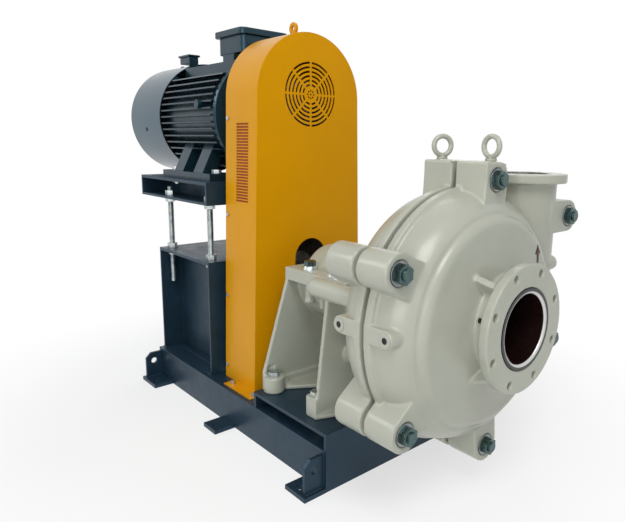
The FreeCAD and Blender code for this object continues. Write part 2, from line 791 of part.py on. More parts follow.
def build_motor_frame():
    axis = motor_axis()
    centre = (0, 0, axis)
    long = S.motor_front - S.motor_back
    slots = []
    count = 7
    for index in range(-count + 1, count):
        z = axis + index * S.fin_pitch - S.fin_thick / 2
        slots.append(box("fin_%d" % (index + count), (S.motor_back, -S.motor_fin_r, z),
                         (S.motor_front, S.motor_fin_r, z + S.fin_thick)))
    envelope = cylinder("fin_envelope", S.motor_fin_r, long, (S.motor_back, 0, axis), "X")
    fins = common("fins", [envelope, fuse("fin_plates", slots)])
    skin = cylinder("motor_skin", S.motor_skin_r, long, (S.motor_back, 0, axis), "X")
    slab = box("motor_slab", (S.motor_back + 6, -S.slab_half, axis + S.motor_skin_r / 2),
               (S.motor_front, S.slab_half, slab_top()))
    block = box("motor_block", (S.block_back, -S.block_out, slab_top() - 2),
                (S.block_front, S.block_wide - S.block_out, slab_top() + S.block_tall))
    pieces = [skin, fins, slab, block]
    for word, sign in (("right", -1), ("left", 1)):
        inner, outer = (S.pad_in, S.pad_out) if sign > 0 else (-S.pad_out, -S.pad_in)
        pieces.append(box("motor_pad_" + word, (S.pad_back, inner, S.table_top),
                          (S.pad_front, outer, S.table_top + S.pad_thick)))
        for index, start in enumerate((S.pad_back + S.strut_inset,
                                       S.pad_front - S.strut_inset - S.strut_wide)):
            pieces.append(prism("motor_strut_%s_%d" % (word, index), "YZ", [
                (sign * (S.pad_out - 12), S.table_top + S.pad_thick - 4),
                (sign * (S.pad_out - 74), axis - 100), (sign * S.pad_in, axis - 130),
                (sign * (S.pad_in + 30), S.table_top + S.pad_thick - 4)], S.strut_wide, (start, 0, 0)))
        start = S.motor_skin_r - 12 if sign > 0 else -S.motor_fin_r - 8
        pieces.append(cylinder("motor_boss_" + word, 17, S.motor_fin_r - S.motor_skin_r + 20,
                               (S.motor_front - 95, start, axis + 42), "Y"))
    body = fuse("motor_body", pieces)
    tools = [cylinder("motor_bore", S.motor_bore, long + 2, (S.motor_back - 1, 0, axis), "X")]
    for word, x, y in motor_bolt_places():
        tools.append(cylinder("motor_bolt_hole_" + word, S.motor_bolt_r + S.hole_gap,
                              S.pad_thick + 2, (x, y, S.table_top - 1)))
        tools.append(cylinder("motor_bolt_room_" + word, S.motor_bolt_r * 2,
                              60, (x, y, S.table_top + S.pad_thick)))
    node("motor_frame", cut("motor_frame_cut", body, tools))

    slot = S.motor_bore - S.seat_gap
    face = S.motor_face - S.motor_front
    node("motor_drive_shield", turned("drive_shield", [
        (S.motor_front - 14, slot - 10), (S.motor_front - 14, slot), (S.motor_front, slot),
        (S.motor_front, S.motor_fin_r - 10), (S.motor_front + face / 3, S.motor_fin_r - 14),
        (S.motor_face - 6, 110), (S.motor_face, 100),
        (S.motor_face, S.motor_shaft_r + 5 + S.run_gap), (S.motor_face - 14, S.motor_shaft_r + 5 + S.run_gap),
        (S.motor_face - 14, 70), (S.motor_front - 14, 70), (S.motor_front - 14, 84),
        (S.motor_front + face / 3 - 12, 96), (S.motor_front + face / 3 - 12, slot - 10)], centre))
    back = S.motor_back
    plate = turned("fan_shield", [
        (back + 14, slot), (back + 14, slot - 10), (back - 4, slot - 10), (back - 4, 84),
        (back + 28, 84), (back + 28, 60), (back - 6, 60), (back - 6, S.motor_journal + S.run_gap),
        (back - 14, S.motor_journal + S.run_gap), (back - 18, 96), (back - 14, slot + 8), (back, slot + 8),
        (back, slot)], centre)
    cowl_in = S.cowl_r - S.cowl_skin
    arms = []
    for index, (dy, dz, angle) in enumerate(around(1.0, 4, 45)):
        arm = doc.addObject("Part::Box", "cowl_arm_%d" % index)
        bind(arm, Length=S.motor_back - S.cowl_front + 10, Width=cowl_in - slot + 20, Height=30)
        turn = Rotation(Vector(1, 0, 0), angle)
        half = turn.multVec(Vector(0, 0, -15))
        arms.append(place(arm, (S.cowl_front - 10, (slot - 20) * dy + half.y,
                                axis + (slot - 20) * dz + half.z), turn))
    hoop = cylinder("cowl_seat", cowl_in - S.seat_gap, S.motor_back - S.cowl_front + 10,
                    (S.cowl_front - 10, 0, axis), "X")
    arm_set = common("cowl_arms", [hoop, fuse("cowl_arm_set", arms)])
    node("motor_fan_shield", fuse("fan_shield_cast", [plate, arm_set]))
    cowl = turned("cowl_shell", [
        (S.cowl_front, cowl_in), (S.cowl_front, S.cowl_r), (S.cowl_back + S.cowl_round, S.cowl_r),
        Arc(S.cowl_round, 1), (S.cowl_back, S.cowl_r - S.cowl_round), (S.cowl_back, 0),
        (S.cowl_back + S.cowl_skin, 0), (S.cowl_back + S.cowl_skin, S.cowl_r - S.cowl_round),
        Arc(S.cowl_round - S.cowl_skin, -1), (S.cowl_back + S.cowl_round, cowl_in)], centre)
    slits = []
    for index, (dy, dz, angle) in enumerate(around(1.0, 16)):
        start = (S.cowl_back - 1, 60 * dy, axis + 60 * dz)
        slit = doc.addObject("Part::Box", "cowl_slit_%d" % index)
        bind(slit, Length=S.cowl_skin + 2, Width=S.cowl_r - 110, Height=14)
        slits.append(place(slit, start, Rotation(Vector(1, 0, 0), angle)))
    node("motor_fan_cowl", cut("cowl", cowl, slits))


def build_motor_inside():
    centre = (0, 0, motor_axis())
    core = ring("stator_rings", S.stator_r + S.air_gap, S.motor_bore - S.seat_gap,
                S.core_back, S.core_front - S.core_back, centre)
    coils = [ring("coil_" + word, S.stator_r + 18, S.motor_bore - 22, start, S.coil_reach, centre)
             for word, start in (("back", S.core_back - S.coil_reach), ("front", S.core_front))]
    node("motor_stator", group("stator", [core] + coils))
    node("motor_rotor_core", ring("rotor_core", S.motor_journal + 8, S.stator_r,
                                  S.core_back, S.core_front - S.core_back, centre))
    front_seat = S.motor_front - 12
    back_seat = S.motor_back - 4
    races = [ring("motor_race_" + word, S.motor_journal + S.run_gap, outer, start, 26, centre)
             for word, start, outer in (("front", front_seat + 8, 70 - S.seat_gap),
                                        ("back", back_seat, 60 - S.seat_gap))]
    node("motor_bearings", group("motor_races", races))
    node("motor_shaft", turned("motor_spindle", [
        (S.cowl_back + 60, 0), (S.cowl_back + 60, 27), (back_seat - 20, 27),
        (back_seat - 20, S.motor_journal), (back_seat + 36, S.motor_journal),
        (back_seat + 36, S.motor_journal + 8), (front_seat - 6, S.motor_journal + 8),
        (front_seat - 6, S.motor_journal), (S.motor_face + 4, S.motor_journal),
        (S.motor_face + 4, S.motor_shaft_r), (S.motor_shaft_end - 3, S.motor_shaft_r),
        (S.motor_shaft_end, S.motor_shaft_r - 3), (S.motor_shaft_end, 0)], centre))
    hub = ring("fan_hub", 27, 56, S.cowl_back + 70, 60, centre)
    disc = ring("fan_disc", 50, 190, S.cowl_back + 122, 6, centre)
    blades = []
    for index, (dy, dz, angle) in enumerate(around(1.0, 8)):
        blade = doc.addObject("Part::Box", "fan_blade_%d" % index)
        bind(blade, Length=50, Width=146, Height=5)
        blades.append(place(blade, (S.cowl_back + 74, 50 * dy, motor_axis() + 50 * dz),
                            Rotation(Vector(1, 0, 0), angle)))
    node("motor_fan", fuse("fan", [hub, disc] + blades))


def build_motor_boxes():
    foot = slab_top()
    box_low = foot + S.box_rise
    box_top = box_low + S.box_tall
    body = rounded("box", prism("box_body", "XY", [
        (S.box_back, -S.box_half), (S.box_front, -S.box_half),
        (S.box_front, S.box_half), (S.box_back, S.box_half)],
        S.box_tall, (0, 0, box_low)), S.box_round, lambda e: along(e, Vector(0, 0, 1)))
    inset = S.neck_inset
    neck = box("box_neck", (S.box_back + inset, inset - S.box_half, foot),
               (S.box_front - inset, S.box_half - inset, box_low))
    node("terminal_box", fuse("terminal_box_shell", [body, neck]))
    lid = rounded("lid", prism("lid_plate", "XY", [
        (S.box_back - S.lid_over, -S.box_half - S.lid_over), (S.box_front + S.lid_over, -S.box_half - S.lid_over),
        (S.box_front + S.lid_over, S.box_half + S.lid_over), (S.box_back - S.lid_over, S.box_half + S.lid_over)],
        S.lid_thick, (0, 0, box_top)), S.box_round + 2, lambda e: along(e, Vector(0, 0, 1)))
    node("terminal_box_lid", lid)
    back, front = S.sensor_back, S.sensor_front
    low, high = S.sensor_y - S.sensor_wide / 2, S.sensor_y + S.sensor_wide / 2
    sensor_low = foot + S.sensor_rise
    top = sensor_low + S.sensor_tall
    small = fuse("sensor_body", [
        box("sensor_foot", (S.motor_back + 8, low, foot), (front, high, sensor_low)),
        box("sensor_case", (back, low, sensor_low), (front, high, top))])
    over = 6
    cap = box("sensor_lid", (back - over, low - over, top), (front + over, high + over, top + S.sensor_lid))
    node("motor_sensor_box", group("sensor_box", [small, cap]))

    bolts = []
    for word, bx, by in motor_bolt_places():
        top = S.table_top + S.pad_thick
        piece = bolt("motor_bolt_" + word, S.motor_bolt_r, S.motor_bolt_r * 3, (bx, by, top),
                     S.pad_thick + S.table_plate + 22, 14, "Z", -1)
        under = S.table_top - S.table_plate - 16
        bolts += [piece, threaded("motor_nut_" + word, S.motor_bolt_r + S.thread_gap, S.motor_bolt_r * 3,
                                  16, (bx, by, under))]
    node("motor_foot_bolts", group("motor_bolts", bolts))


# ---------------------------------------------------------------- belt drive

def grooved(name, outer, bore, z):
    """Grooved pulley with a hub, a web and a rim."""
    start = S.drive_x
    end = S.drive_x + S.pulley_wide
    outline = [(start, bore), (start, S.hub_r), (start + S.pulley_wide / 2 - S.web_thick / 2, S.hub_r),
               (start + S.pulley_wide / 2 - S.web_thick / 2, outer - S.groove_deep - 14),
               (start, outer - S.groove_deep - 14), (start, outer)]
    first = start + S.pulley_wide / 2 - S.belt_pitch * (BELTS - 1) / 2
    for index in range(BELTS):
        middle = first + index * S.belt_pitch
        outline += [(middle - S.groove_open / 2, outer), (middle - S.groove_floor / 2, outer - S.groove_deep),
                    (middle + S.groove_floor / 2, outer - S.groove_deep), (middle + S.groove_open / 2, outer)]
    outline += [(end, outer), (end, outer - S.groove_deep - 14),
                (end - S.pulley_wide / 2 + S.web_thick / 2, outer - S.groove_deep - 14),
                (end - S.pulley_wide / 2 + S.web_thick / 2, S.hub_r), (end, S.hub_r), (end, bore)]
    return turned(name, outline, (0, 0, z))


def belt_loop(low, high, gap, start, width):
    """Solid inside a belt line round both pulleys, given the radii at the line."""
    rise = gap
    lean = math.asin((low - high) / rise)
    cosine, sine = math.cos(lean), math.sin(lean)
    corners = [Vector(0, low * cosine, low * sine), Vector(0, high * cosine, rise + high * sine),
               Vector(0, -high * cosine, rise + high * sine), Vector(0, -low * cosine, low * sine)]
    wire = Part.Wire([
        Part.LineSegment(corners[0], corners[1]).toShape(),
        Part.Arc(corners[1], Vector(0, 0, rise + high), corners[2]).toShape(),
        Part.LineSegment(corners[2], corners[3]).toShape(),
        Part.Arc(corners[3], Vector(0, 0, -low), corners[0]).toShape()])
    solid = Part.Face(wire).extrude(Vector(width, 0, 0))
    solid.translate(Vector(start, 0, 0))
    return solid


def build_drive():
    axis = motor_axis()
    node("motor_pulley", grooved("small_pulley", S.motor_pulley_r, S.motor_shaft_r, axis))
    node("pump_pulley", grooved("large_pulley", S.pump_pulley_r, S.shaft_pulley_r, S.shaft_z))
    inner = S.belt_gap - S.groove_deep
    low = (S.pump_pulley_r + inner).value
    high = (S.motor_pulley_r + inner).value
    thick, width = S.belt_thick.value, S.belt_wide.value
    rise = (axis - S.shaft_z).value
    first = (S.drive_x + S.pulley_wide / 2 - S.belt_pitch * (BELTS - 1) / 2).value
    belts = []
    for index in range(BELTS):
        start = first + index * S.belt_pitch.value - width / 2
        outer = belt_loop(low + thick, high + thick, rise, start, width)
        belts.append(outer.cut(belt_loop(low, high, rise, start, width)))
    belt_set = doc.addObject("Part::Feature", "belts")
    belt_set.Shape = Part.makeCompound(belts)
    belt_set.Placement = Placement(Vector(0, 0, S.shaft_z.value), Rotation())
    node("v_belts", belt_set)


def guard_head():
    return motor_axis() + S.guard_arc_rise


def guard_outline(inset, low):
    """Guard section in the YZ plane: straight sides that meet a round head."""
    radius = S.guard_arc_r - inset
    foot = S.guard_foot - inset
    head = guard_head()
    return [(-foot, low), (foot, low), (radius, head), Arc(radius, 1), (0, head + radius),
            Arc(radius, 1), (-radius, head)]


def obround(name, radius, run, x, z, depth):
    """Upright slot tool along X: two round ends and the block between them."""
    return fuse(name, [
        cylinder(name + "_low", radius, depth, (x, 0, z), "X"),
        cylinder(name + "_high", radius, depth, (x, 0, z + run), "X"),
        box(name + "_middle", (x, -radius, z), (x + depth, radius, z + run))])


def build_grille():
    """Grille: arc slits cut into eight sectors by straight bars, round a few small holes."""
    start = S.guard_front - S.guard_skin - 1
    depth = S.guard_skin + 2
    middle = guard_head() + S.grille_rise
    rings = []
    count = int(S.grille_rings.value)
    pitch = (S.grille_r - S.grille_hub) / S.grille_rings
    for index in range(count):
        inner = S.grille_hub + index * pitch + pitch - S.slit
        rings.append(ring("grille_ring_%d" % index, inner, inner + S.slit, start, depth, (0, 0, middle)))
    bars = []
    for index in range(4):
        bar = doc.addObject("Part::Box", "grille_bar_%d" % index)
        bind(bar, Length=depth, Width=S.grille_r * 2 + 4, Height=S.grille_web)
        angle = math.radians(45 * index)
        half, side = S.grille_r + 2, S.grille_web / 2
        bars.append(place(bar, (start, side * math.sin(angle) - half * math.cos(angle),
                                middle - half * math.sin(angle) - side * math.cos(angle)),
                          Rotation(Vector(1, 0, 0), 45 * index)))
    dots = [cylinder("grille_dot_%d" % index, S.grille_dot, depth,
                     (start, dy * S.grille_hub, middle + dz * S.grille_hub), "X")
            for index, (dy, dz, angle) in enumerate(around(0.6, 8))]
    dots.append(cylinder("grille_dot_8", S.grille_dot, depth, (start, 0, middle), "X"))
    return [cut("grille_slits", group("grille_ring_set", rings), bars)] + dots


def build_guard():
    deep = S.guard_front - S.guard_back
    low = S.rail_tall
    panel = prism("front_sheet", "YZ", guard_outline(0, low), S.guard_skin, (S.guard_front - S.guard_skin, 0, 0))
    shaft_slot = obround("shaft_slot", S.slot_r, S.slot_rise, S.guard_front - S.guard_skin - 1, S.shaft_z,
                         S.guard_skin + 2)
    node("guard_front_panel", cut("front_panel", panel, [shaft_slot] + build_grille()))

    outer = prism("band_outer", "YZ", guard_outline(0, low), deep - S.guard_skin * 2,
                  (S.guard_back + S.guard_skin, 0, 0))
    inner = prism("band_inner", "YZ", guard_outline(S.guard_skin, low - 1), deep, (S.guard_back, 0, 0))
    lips = []
    foot = S.guard_foot
    inner_x = S.guard_front - S.guard_skin
    for word, sign in (("right", -1), ("left", 1)):
        lips.append(prism("guard_lip_" + word, "XY", [
            (S.lip_back, sign * (foot - S.guard_skin)), (inner_x, sign * (foot - S.guard_skin)),
            (inner_x, sign * foot), (S.lip_front, sign * foot), (S.lip_front, sign * (foot + S.guard_lip)),
            (S.lip_back, sign * (foot + S.guard_lip))], S.lip_thick, (0, 0, low)))
    vents = []
    rows = 27
    half = S.vent_tall / 2
    for index in range(rows):
        z = guard_head() - S.vent_drop - S.vent_span * (index / (rows - 1))
        vents.append(box("vent_%d" % index, (S.vent_x, -foot - 10, z - half),
                         (S.vent_x + S.vent_long, foot + 10, z + half)))
    band = cut("band", fuse("band_body", [outer] + lips), [inner] + vents)
    node("guard_wrapper", band)

    back = prism("back_sheet", "YZ", guard_outline(0, low), S.guard_skin, (S.guard_back, 0, 0))
    motor_slot = obround("motor_slot", S.motor_slot_r, S.motor_slot_run * 2, S.guard_back - 1,
                         motor_axis() - S.motor_slot_run, S.guard_skin + 2)
    node("guard_back_panel", cut("back_panel", back, [motor_slot]))

    screws = []
    slope = (S.guard_foot - S.guard_arc_r) / (guard_head() - low)
    for index, share in enumerate((0.05, 0.31, 0.6, 0.93)):
        z = low + (guard_head() - low) * share
        reach = S.guard_foot - slope * (z - low)
        for word, sign in (("right", -1), ("left", 1)):
            start = reach + S.seat_gap if sign > 0 else -reach - S.seat_gap - 6
            screws.append(cylinder("guard_screw_%s_%d" % (word, index), 7, 6,
                                   (S.guard_back + 18, start, z), "Y"))
    for word, sign in (("right", -1), ("left", 1)):
        for index, x in enumerate((S.lip_back + 24, S.lip_front - 18)):
            screws.append(hexagon("guard_anchor_%s_%d" % (word, index), as_size(18), 10,
                                  (x, sign * (foot + S.guard_lip / 2), low + S.lip_thick)))
    node("guard_screws", group("guard_screw_set", screws))

    top = guard_head() + S.guard_arc_r
    middle = (S.guard_back + S.guard_front) / 2
    loop = doc.addObject("Part::Torus", "guard_eye_ring")
    bind(loop, Radius1=S.guard_eye_r - 5, Radius2=5)
    place(loop, (middle, 0, top + S.guard_eye_r + 4), AXES["Y"])
    stem = cylinder("guard_eye_stem", 8, 12, (middle, 0, top))
    node("guard_lifting_eye", fuse("guard_eye", [loop, stem]))


# ---------------------------------------------------------------- bearing assembly

def toe_places():
    """The four feet of the bearing frame as (name, bolt x, bolt y, height)."""
    for end_word, x, tall in (("back", S.toe_back, S.toe_tall), ("front", S.toe_front, S.front_toe_tall)):
        for side_word, sign in (("right", -1), ("left", 1)):
            yield end_word + "_" + side_word, x, sign * S.toe_y, tall


def tube_places():
    """The four stay tubes as (name, y, z)."""
    for level, y, z in (("high", S.tube_y, S.shaft_z + S.tube_rise),
                        ("low", S.tube_low_y, S.shaft_z - S.tube_drop)):
        for side_word, sign in (("right", -1), ("left", 1)):
            yield level + "_" + side_word, sign * y, z


def frame_walls():
    """Back wall with its foot band, front wall, soles and the web between the walls."""
    deck, foot, back = S.deck_top, S.wall_foot, S.frame_back
    under = S.cradle_top - S.cradle_thick + 2
    seat = S.shaft_z - S.housing_r
    face = S.front_wall + S.wall_skin
    walls = [
        prism("frame_back_wall", "YZ", [
            (-foot, deck), (foot, deck), (foot, deck + S.wall_sole), (S.cradle_half, under),
            (-S.cradle_half, under), (-foot, deck + S.wall_sole)], S.wall_skin, (back, 0, 0)),
        box("frame_band", (back, -S.band_half, deck),
            (back + S.wall_skin + S.wall_band, S.band_half, deck + S.band_tall)),
        prism("frame_front_wall", "YZ", [
            (-foot, deck), (foot, deck), (S.front_half, S.shaft_z + S.tube_rise),
            (-S.front_half, S.shaft_z + S.tube_rise)], S.wall_skin, (S.front_wall, 0, 0)),
        prism("frame_web", "XZ", [
            (back + 10, deck), (face, deck), (face, seat), (back + 10, seat)],
            S.stay_web, (0, -S.stay_web / 2, 0)),
    ]
    deep, reach = back + S.sole_deep, back + S.sole_reach
    walls.append(prism("back_sole", "XY", [
        (back, -S.sole_half), (deep, -S.sole_half), (reach, -S.sole_core), (reach, S.sole_core),
        (deep, S.sole_half), (back, S.sole_half)], S.sole_tall, (0, 0, deck)))
    walls.append(prism("front_sole", "XY", [
        (S.front_wall, -foot), (face, -foot), (S.column_front, -S.sole_core),
        (S.column_front, S.sole_core), (face, foot), (S.front_wall, foot)], S.sole_tall, (0, 0, deck)))
    for word, sign in (("right", -1), ("left", 1)):
        low, high = (S.step_half, S.sole_half) if sign > 0 else (-S.sole_half, -S.step_half)
        walls.append(box("sole_step_" + word, (back, low, deck), (deep, high, deck + S.step_tall)))
    return walls


def frame_toes():
    """Round back toes, and front toes with rounded corners behind the front wall."""
    toes = []
    half, bend, deck = S.front_toe_half, S.front_toe_round, S.deck_top
    for word, x, y, tall in toe_places():
        if word.startswith("back"):
            toes.append(cylinder("toe_" + word, S.toe_r, tall, (x, y, deck)))
            continue
        end = S.front_wall + S.wall_skin
        toes.append(prism("toe_" + word, "XY", [
            (end, y - half), (end, y + half), (x - half + bend, y + half), Arc(bend, 1),
            (x - half, y + half - bend), (x - half, y - half + bend), Arc(bend, 1),
            (x - half + bend, y - half)], tall, (0, 0, deck)))
    return toes


def build_bearing_frame():
    axis = S.shaft_z
    seat = S.housing_r + S.cradle_gap
    flange_low = S.cradle_top - S.cradle_thick
    boss_low = flange_low - S.boss_drop
    skin, core, deck = S.column_skin, S.column_core, S.deck_top
    pieces = frame_walls() + frame_toes() + [
        box("cradle_flange", (S.frame_back, -S.cradle_half, flange_low),
            (S.frame_cradle, S.cradle_half, S.cradle_top)),
        cylinder("cradle_shell", seat + S.cradle_wall, S.column_front - S.frame_back, (S.frame_back, 0, axis), "X"),
        cylinder("yoke_shell", S.yoke_r, S.column_front - S.frame_cradle + 20,
                 (S.frame_cradle - 20, 0, axis), "X"),
    ]
    column = box("column_core", (S.column_back, -core, deck), (S.column_front, core, flange_low))
    column_room = box("column_core_room", (S.column_back + skin, skin - core, deck - 1),
                      (S.column_front - skin, core - skin, axis))
    pieces.append(cut("column_core_cast", column, [column_room]))
    holes = []
    for word, sign in (("right", -1), ("left", 1)):
        y = sign * S.clamp_y
        for end_word, x in (("back", S.clamp_back), ("front", S.clamp_front)):
            name = end_word + "_" + word
            pieces.append(cylinder("clamp_boss_" + name, S.clamp_boss, S.boss_drop + 2, (x, y, boss_low)))
            pieces.append(cylinder("clamp_collar_" + name, S.clamp_collar, S.collar_tall, (x, y, boss_low)))
            holes.append(cylinder("clamp_hole_" + name, S.clamp_r + S.thread_gap,
                                  S.cradle_thick + 41, (x, y, flange_low - 40)))
        pieces.append(cylinder("spare_boss_" + word, S.clamp_boss - 3, S.boss_drop + 9,
                               (S.spare_boss, y, boss_low - 7)))
    for word, y, z in tube_places():
        start = S.tube_back + S.tube_end
        pieces.append(cylinder("stay_tube_" + word, S.tube_r, S.tube_front - start, (start, y, z), "X"))
        pieces.append(cone("stay_end_" + word, S.tube_r - S.tube_end * 0.7, S.tube_r, S.tube_end,
                           (S.tube_back, y, z), "X"))
        holes.append(cylinder("stay_hole_" + word, S.tube_bolt + S.hole_gap,
                              S.tube_front - S.tube_back + 2, (S.tube_back - 1, y, z), "X"))
    for word, x, y, tall in toe_places():
        holes.append(cylinder("toe_hole_" + word, S.clamp_r + S.hole_gap, tall + 2, (x, y, deck - 1)))
        holes.append(cylinder("toe_spot_" + word, S.nut_flats * 0.66, S.toe_room, (x, y, deck + tall)))
    bores = [
        cylinder("cradle_bore", seat, S.frame_cradle - S.frame_back + 1, (S.frame_back - 1, 0, axis), "X"),
        cylinder("yoke_hollow", S.yoke_bore, S.column_front - S.frame_cradle + 2, (S.frame_cradle - 1, 0, axis), "X"),
        box("cradle_open", (S.frame_back - 1, -seat - S.cradle_wall - 1, S.cradle_top),
            (S.column_front + 1, seat + S.cradle_wall + 1, S.cradle_top + seat * 2)),
        box("ledge_room", (S.housing_back - 1, -S.ledge_half - S.cradle_gap, S.cradle_top - S.ledge_thick),
            (S.housing_front + 1, S.ledge_half + S.cradle_gap, S.cradle_top + 1)),
        box("gland_window", (S.frame_cradle, -S.yoke_r - 1, axis + 40),
            (S.column_front + 1, S.yoke_r + 1, S.cradle_top + seat * 2)),
    ]
    node("bearing_frame", cut("frame_casting", fuse("frame_body", pieces), bores + holes))
    node("frame_plate_bolts", group("frame_plate_bolt_set", [
        bolt("frame_plate_bolt_" + word, S.tube_bolt, S.tube_bolt * 3, (S.tube_back, y, z),
             S.tube_front - S.tube_back + S.tube_bolt_in, 13, "X", 1) for word, y, z in tube_places()]))


def build_bearings():
    axis = (0, 0, S.shaft_z)
    shell = turned("housing_shell", [
        (S.housing_back, S.race_r), (S.housing_back, S.housing_r - 4), (S.housing_back + 4, S.housing_r),
        (S.housing_front - 4, S.housing_r), (S.housing_front, S.housing_r - 4), (S.housing_front, S.race_r),
        (S.front_race, S.race_r), (S.front_race - 4, S.race_r + 6),
        (S.back_race + S.race_wide + 4, S.race_r + 6), (S.back_race + S.race_wide, S.race_r)], axis)
    ledges = []
    for word, sign in (("right", -1), ("left", 1)):
        inner = S.race_r + 12
        edges = (inner, S.ledge_half) if sign > 0 else (-S.ledge_half, -inner)
        ledges.append(box("ledge_" + word, (S.housing_back, edges[0], S.cradle_top - S.ledge_thick + S.cradle_gap),
                          (S.housing_front, edges[1], S.cradle_top)))
    node("bearing_housing", fuse("housing", [shell] + ledges))

    spigot = S.race_r - S.seat_gap
    face, cap, bend = S.housing_back - S.cap_long, S.housing_r - 1, S.cap_round
    node("bearing_cover_drive", turned("drive_cover", [
        (face, S.cover_bore), (face, cap - bend), Arc(bend, -1), (face + bend, cap), (S.housing_back, cap),
        (S.housing_back, spigot), (S.back_race, spigot), (S.back_race, spigot - 8),
        (S.housing_back - 8, S.cover_bore)], axis))
    face, race = S.housing_front, S.front_race + S.race_wide
    node("bearing_cover_pump", turned("pump_cover", [
        (face + S.cover_thick, S.cover_bore), (face + S.cover_thick, S.cover_r - 6),
        (face + S.cover_thick - 6, S.cover_r), (face, S.cover_r), (face, spigot), (race, spigot),
        (race, spigot - 10), (face - 6, S.cover_bore)], axis))
    cups, cones = [], []
    for word, start in (("drive", S.back_race), ("pump", S.front_race)):
        cups.append(ring("cup_" + word, S.race_r - S.cup_thick, S.race_r - S.run_gap / 2, start, S.race_wide, axis))
        cones.append(ring("cone_" + word, S.journal_r, S.journal_r + S.cone_thick, start + 1, S.race_wide - 2, axis))
        inside = S.race_r - S.cup_thick - S.run_gap
        roller = (inside - S.journal_r - S.cone_thick) / 2
        for index, (dy, dz, angle) in enumerate(around(1.0, 12)):
            middle = S.journal_r + S.cone_thick + roller
            cones.append(cylinder("roller_%s_%d" % (word, index), roller, S.race_wide - 12,
                                  (start + 6, middle * dy, S.shaft_z + middle * dz), "X"))
    node("bearing_outer_races", group("cups", cups))
    node("bearing_rollers_inner_races", group("cones", cones))

    washers, bolts = [], []
    for end_word, x in (("back", S.clamp_back), ("front", S.clamp_front)):
        for side_word, sign in (("right", -1), ("left", 1)):
            name = "clamp_%s_%s" % (end_word, side_word)
            y = sign * S.clamp_y
            disc = cone(name + "_disc", 27, 22, 12, (x, y, S.cradle_top))
            hole = cylinder(name + "_hole", S.clamp_r + S.hole_gap, 12, (x, y, S.cradle_top))
            washers.append(cut(name + "_washer", disc, [hole]))
            bolts.append(bolt(name + "_bolt", S.clamp_r, S.nut_flats, (x, y, S.cradle_top + 12),
                              S.cradle_thick + 46, 17, "Z", -1))
    node("clamp_washers", group("clamp_washer_set", washers))
    node("clamp_bolts", group("clamp_bolt_set", bolts))
    toe_bolts = []
    for word, x, y, tall in toe_places():
        toe_bolts.append(bolt("toe_bolt_" + word, S.clamp_r, S.nut_flats, (x, y, S.deck_top + tall),
                              tall + S.deck_thick + S.nut_tall + 4, 15, "Z", -1))
        toe_bolts.append(threaded("toe_nut_" + word, S.clamp_r + S.thread_gap, S.nut_flats, S.nut_tall,
                                  (x, y, S.deck_top - S.deck_thick - S.nut_tall)))
    node("frame_foot_bolts", group("toe_bolts", toe_bolts))


def build_shaft():
    axis = (0, 0, S.shaft_z)
    shoulder = S.back_race + S.race_wide
    node("pump_shaft", turned("spindle", [
        (S.shaft_back, 0), (S.shaft_back, S.shaft_pulley_r - 3), (S.shaft_back + 3, S.shaft_pulley_r),
        (S.shaft_step, S.shaft_pulley_r), (S.shaft_step, S.journal_r), (shoulder, S.journal_r),
        (shoulder, S.shaft_mid_r), (S.front_race, S.shaft_mid_r), (S.front_race, S.journal_r),
        (S.sleeve_back, S.journal_r), (S.sleeve_back, S.sleeve_bore), (S.sleeve_front, S.sleeve_bore),
        (S.sleeve_front, S.impeller_bore), (S.shaft_front, S.impeller_bore), (S.shaft_front, 0)], axis))
    rings = []
    for word, start, long in (("drive", S.housing_back - S.cap_long - 12, 60),
                              ("pump", S.front_race + S.race_wide + 4, S.sleeve_back - S.front_race - S.race_wide - 4)):
        rings.append(ring("labyrinth_" + word, S.journal_r, S.cover_bore - S.run_gap, start, long, axis))
    node("labyrinth_rings", group("labyrinths", rings))
    node("shaft_sleeve", ring("sleeve", S.sleeve_bore, S.sleeve_r, S.sleeve_back,
                              S.sleeve_front - S.sleeve_back, axis))


# ---------------------------------------------------------------- wet end

def casing_bolt_places():
    """The casing bolts as (number, y, z), all in line with the shaft."""
    for index in range(CASING_BOLTS):
        across, above = (getattr(S, "bolt_%d_%s" % (index, word)) for word in "yz")
        yield index, across, S.shaft_z + above


def casing_side(word, sign):
    """Outer form of one casing half without its inside: rim, wall and lugs."""
    face = S.split_x + sign * S.split_gap
    end = face + sign * S.barrel_long
    start, stop = (face, end) if sign > 0 else (end, face)
    pieces = []
    for index, y, z in casing_bolt_places():
        pieces.append(cylinder("barrel_%s_%d" % (word, index), S.barrel_r, S.barrel_long, (start, y, z), "X"))
        if index == CASING_BOLTS - 1:
            pieces.append(box("outlet_lug_" + word, (start, S.outlet_y, z - S.barrel_r),
                              (stop, y, z + S.barrel_r)))
            continue
        if index == 0:
            pieces.append(box("top_lug_" + word, (start, y - S.barrel_r, z - S.top_lug_drop),
                              (stop, y, z + S.barrel_r)))
        above = z - S.shaft_z
        reach = root(y * y + above * above)
        web = doc.addObject("Part::Box", "lug_web_%s_%d" % (word, index))
        bind(web, Length=S.barrel_long, Width=reach - S.lug_root, Height=S.barrel_r * 2)
        lean = Rotation(Vector(1, 0, 0), math.degrees(math.atan2(above.value, y.value)))
        pieces.append(place(web, (start, (S.lug_root * y + S.barrel_r * above) / reach,
                                  S.shaft_z + (S.lug_root * above - S.barrel_r * y) / reach), lean))
    ear_x = face + sign * S.ear_reach
    low, high = (face, ear_x) if sign > 0 else (ear_x, face)
    for side_word, edge, height in (("right", -S.rim_r, S.ear_right_z),
                                    ("left", S.ear_left_y - S.ear_long, S.ear_left_z)):
        pieces.append(cylinder("ear_%s_%s" % (side_word, word), S.ear_r, S.ear_long, (ear_x, edge, height), "Y"))
        pieces.append(box("ear_arm_%s_%s" % (side_word, word), (low, edge, height - S.ear_r),
                          (high, edge + S.ear_long, height + S.ear_r)))
    return pieces


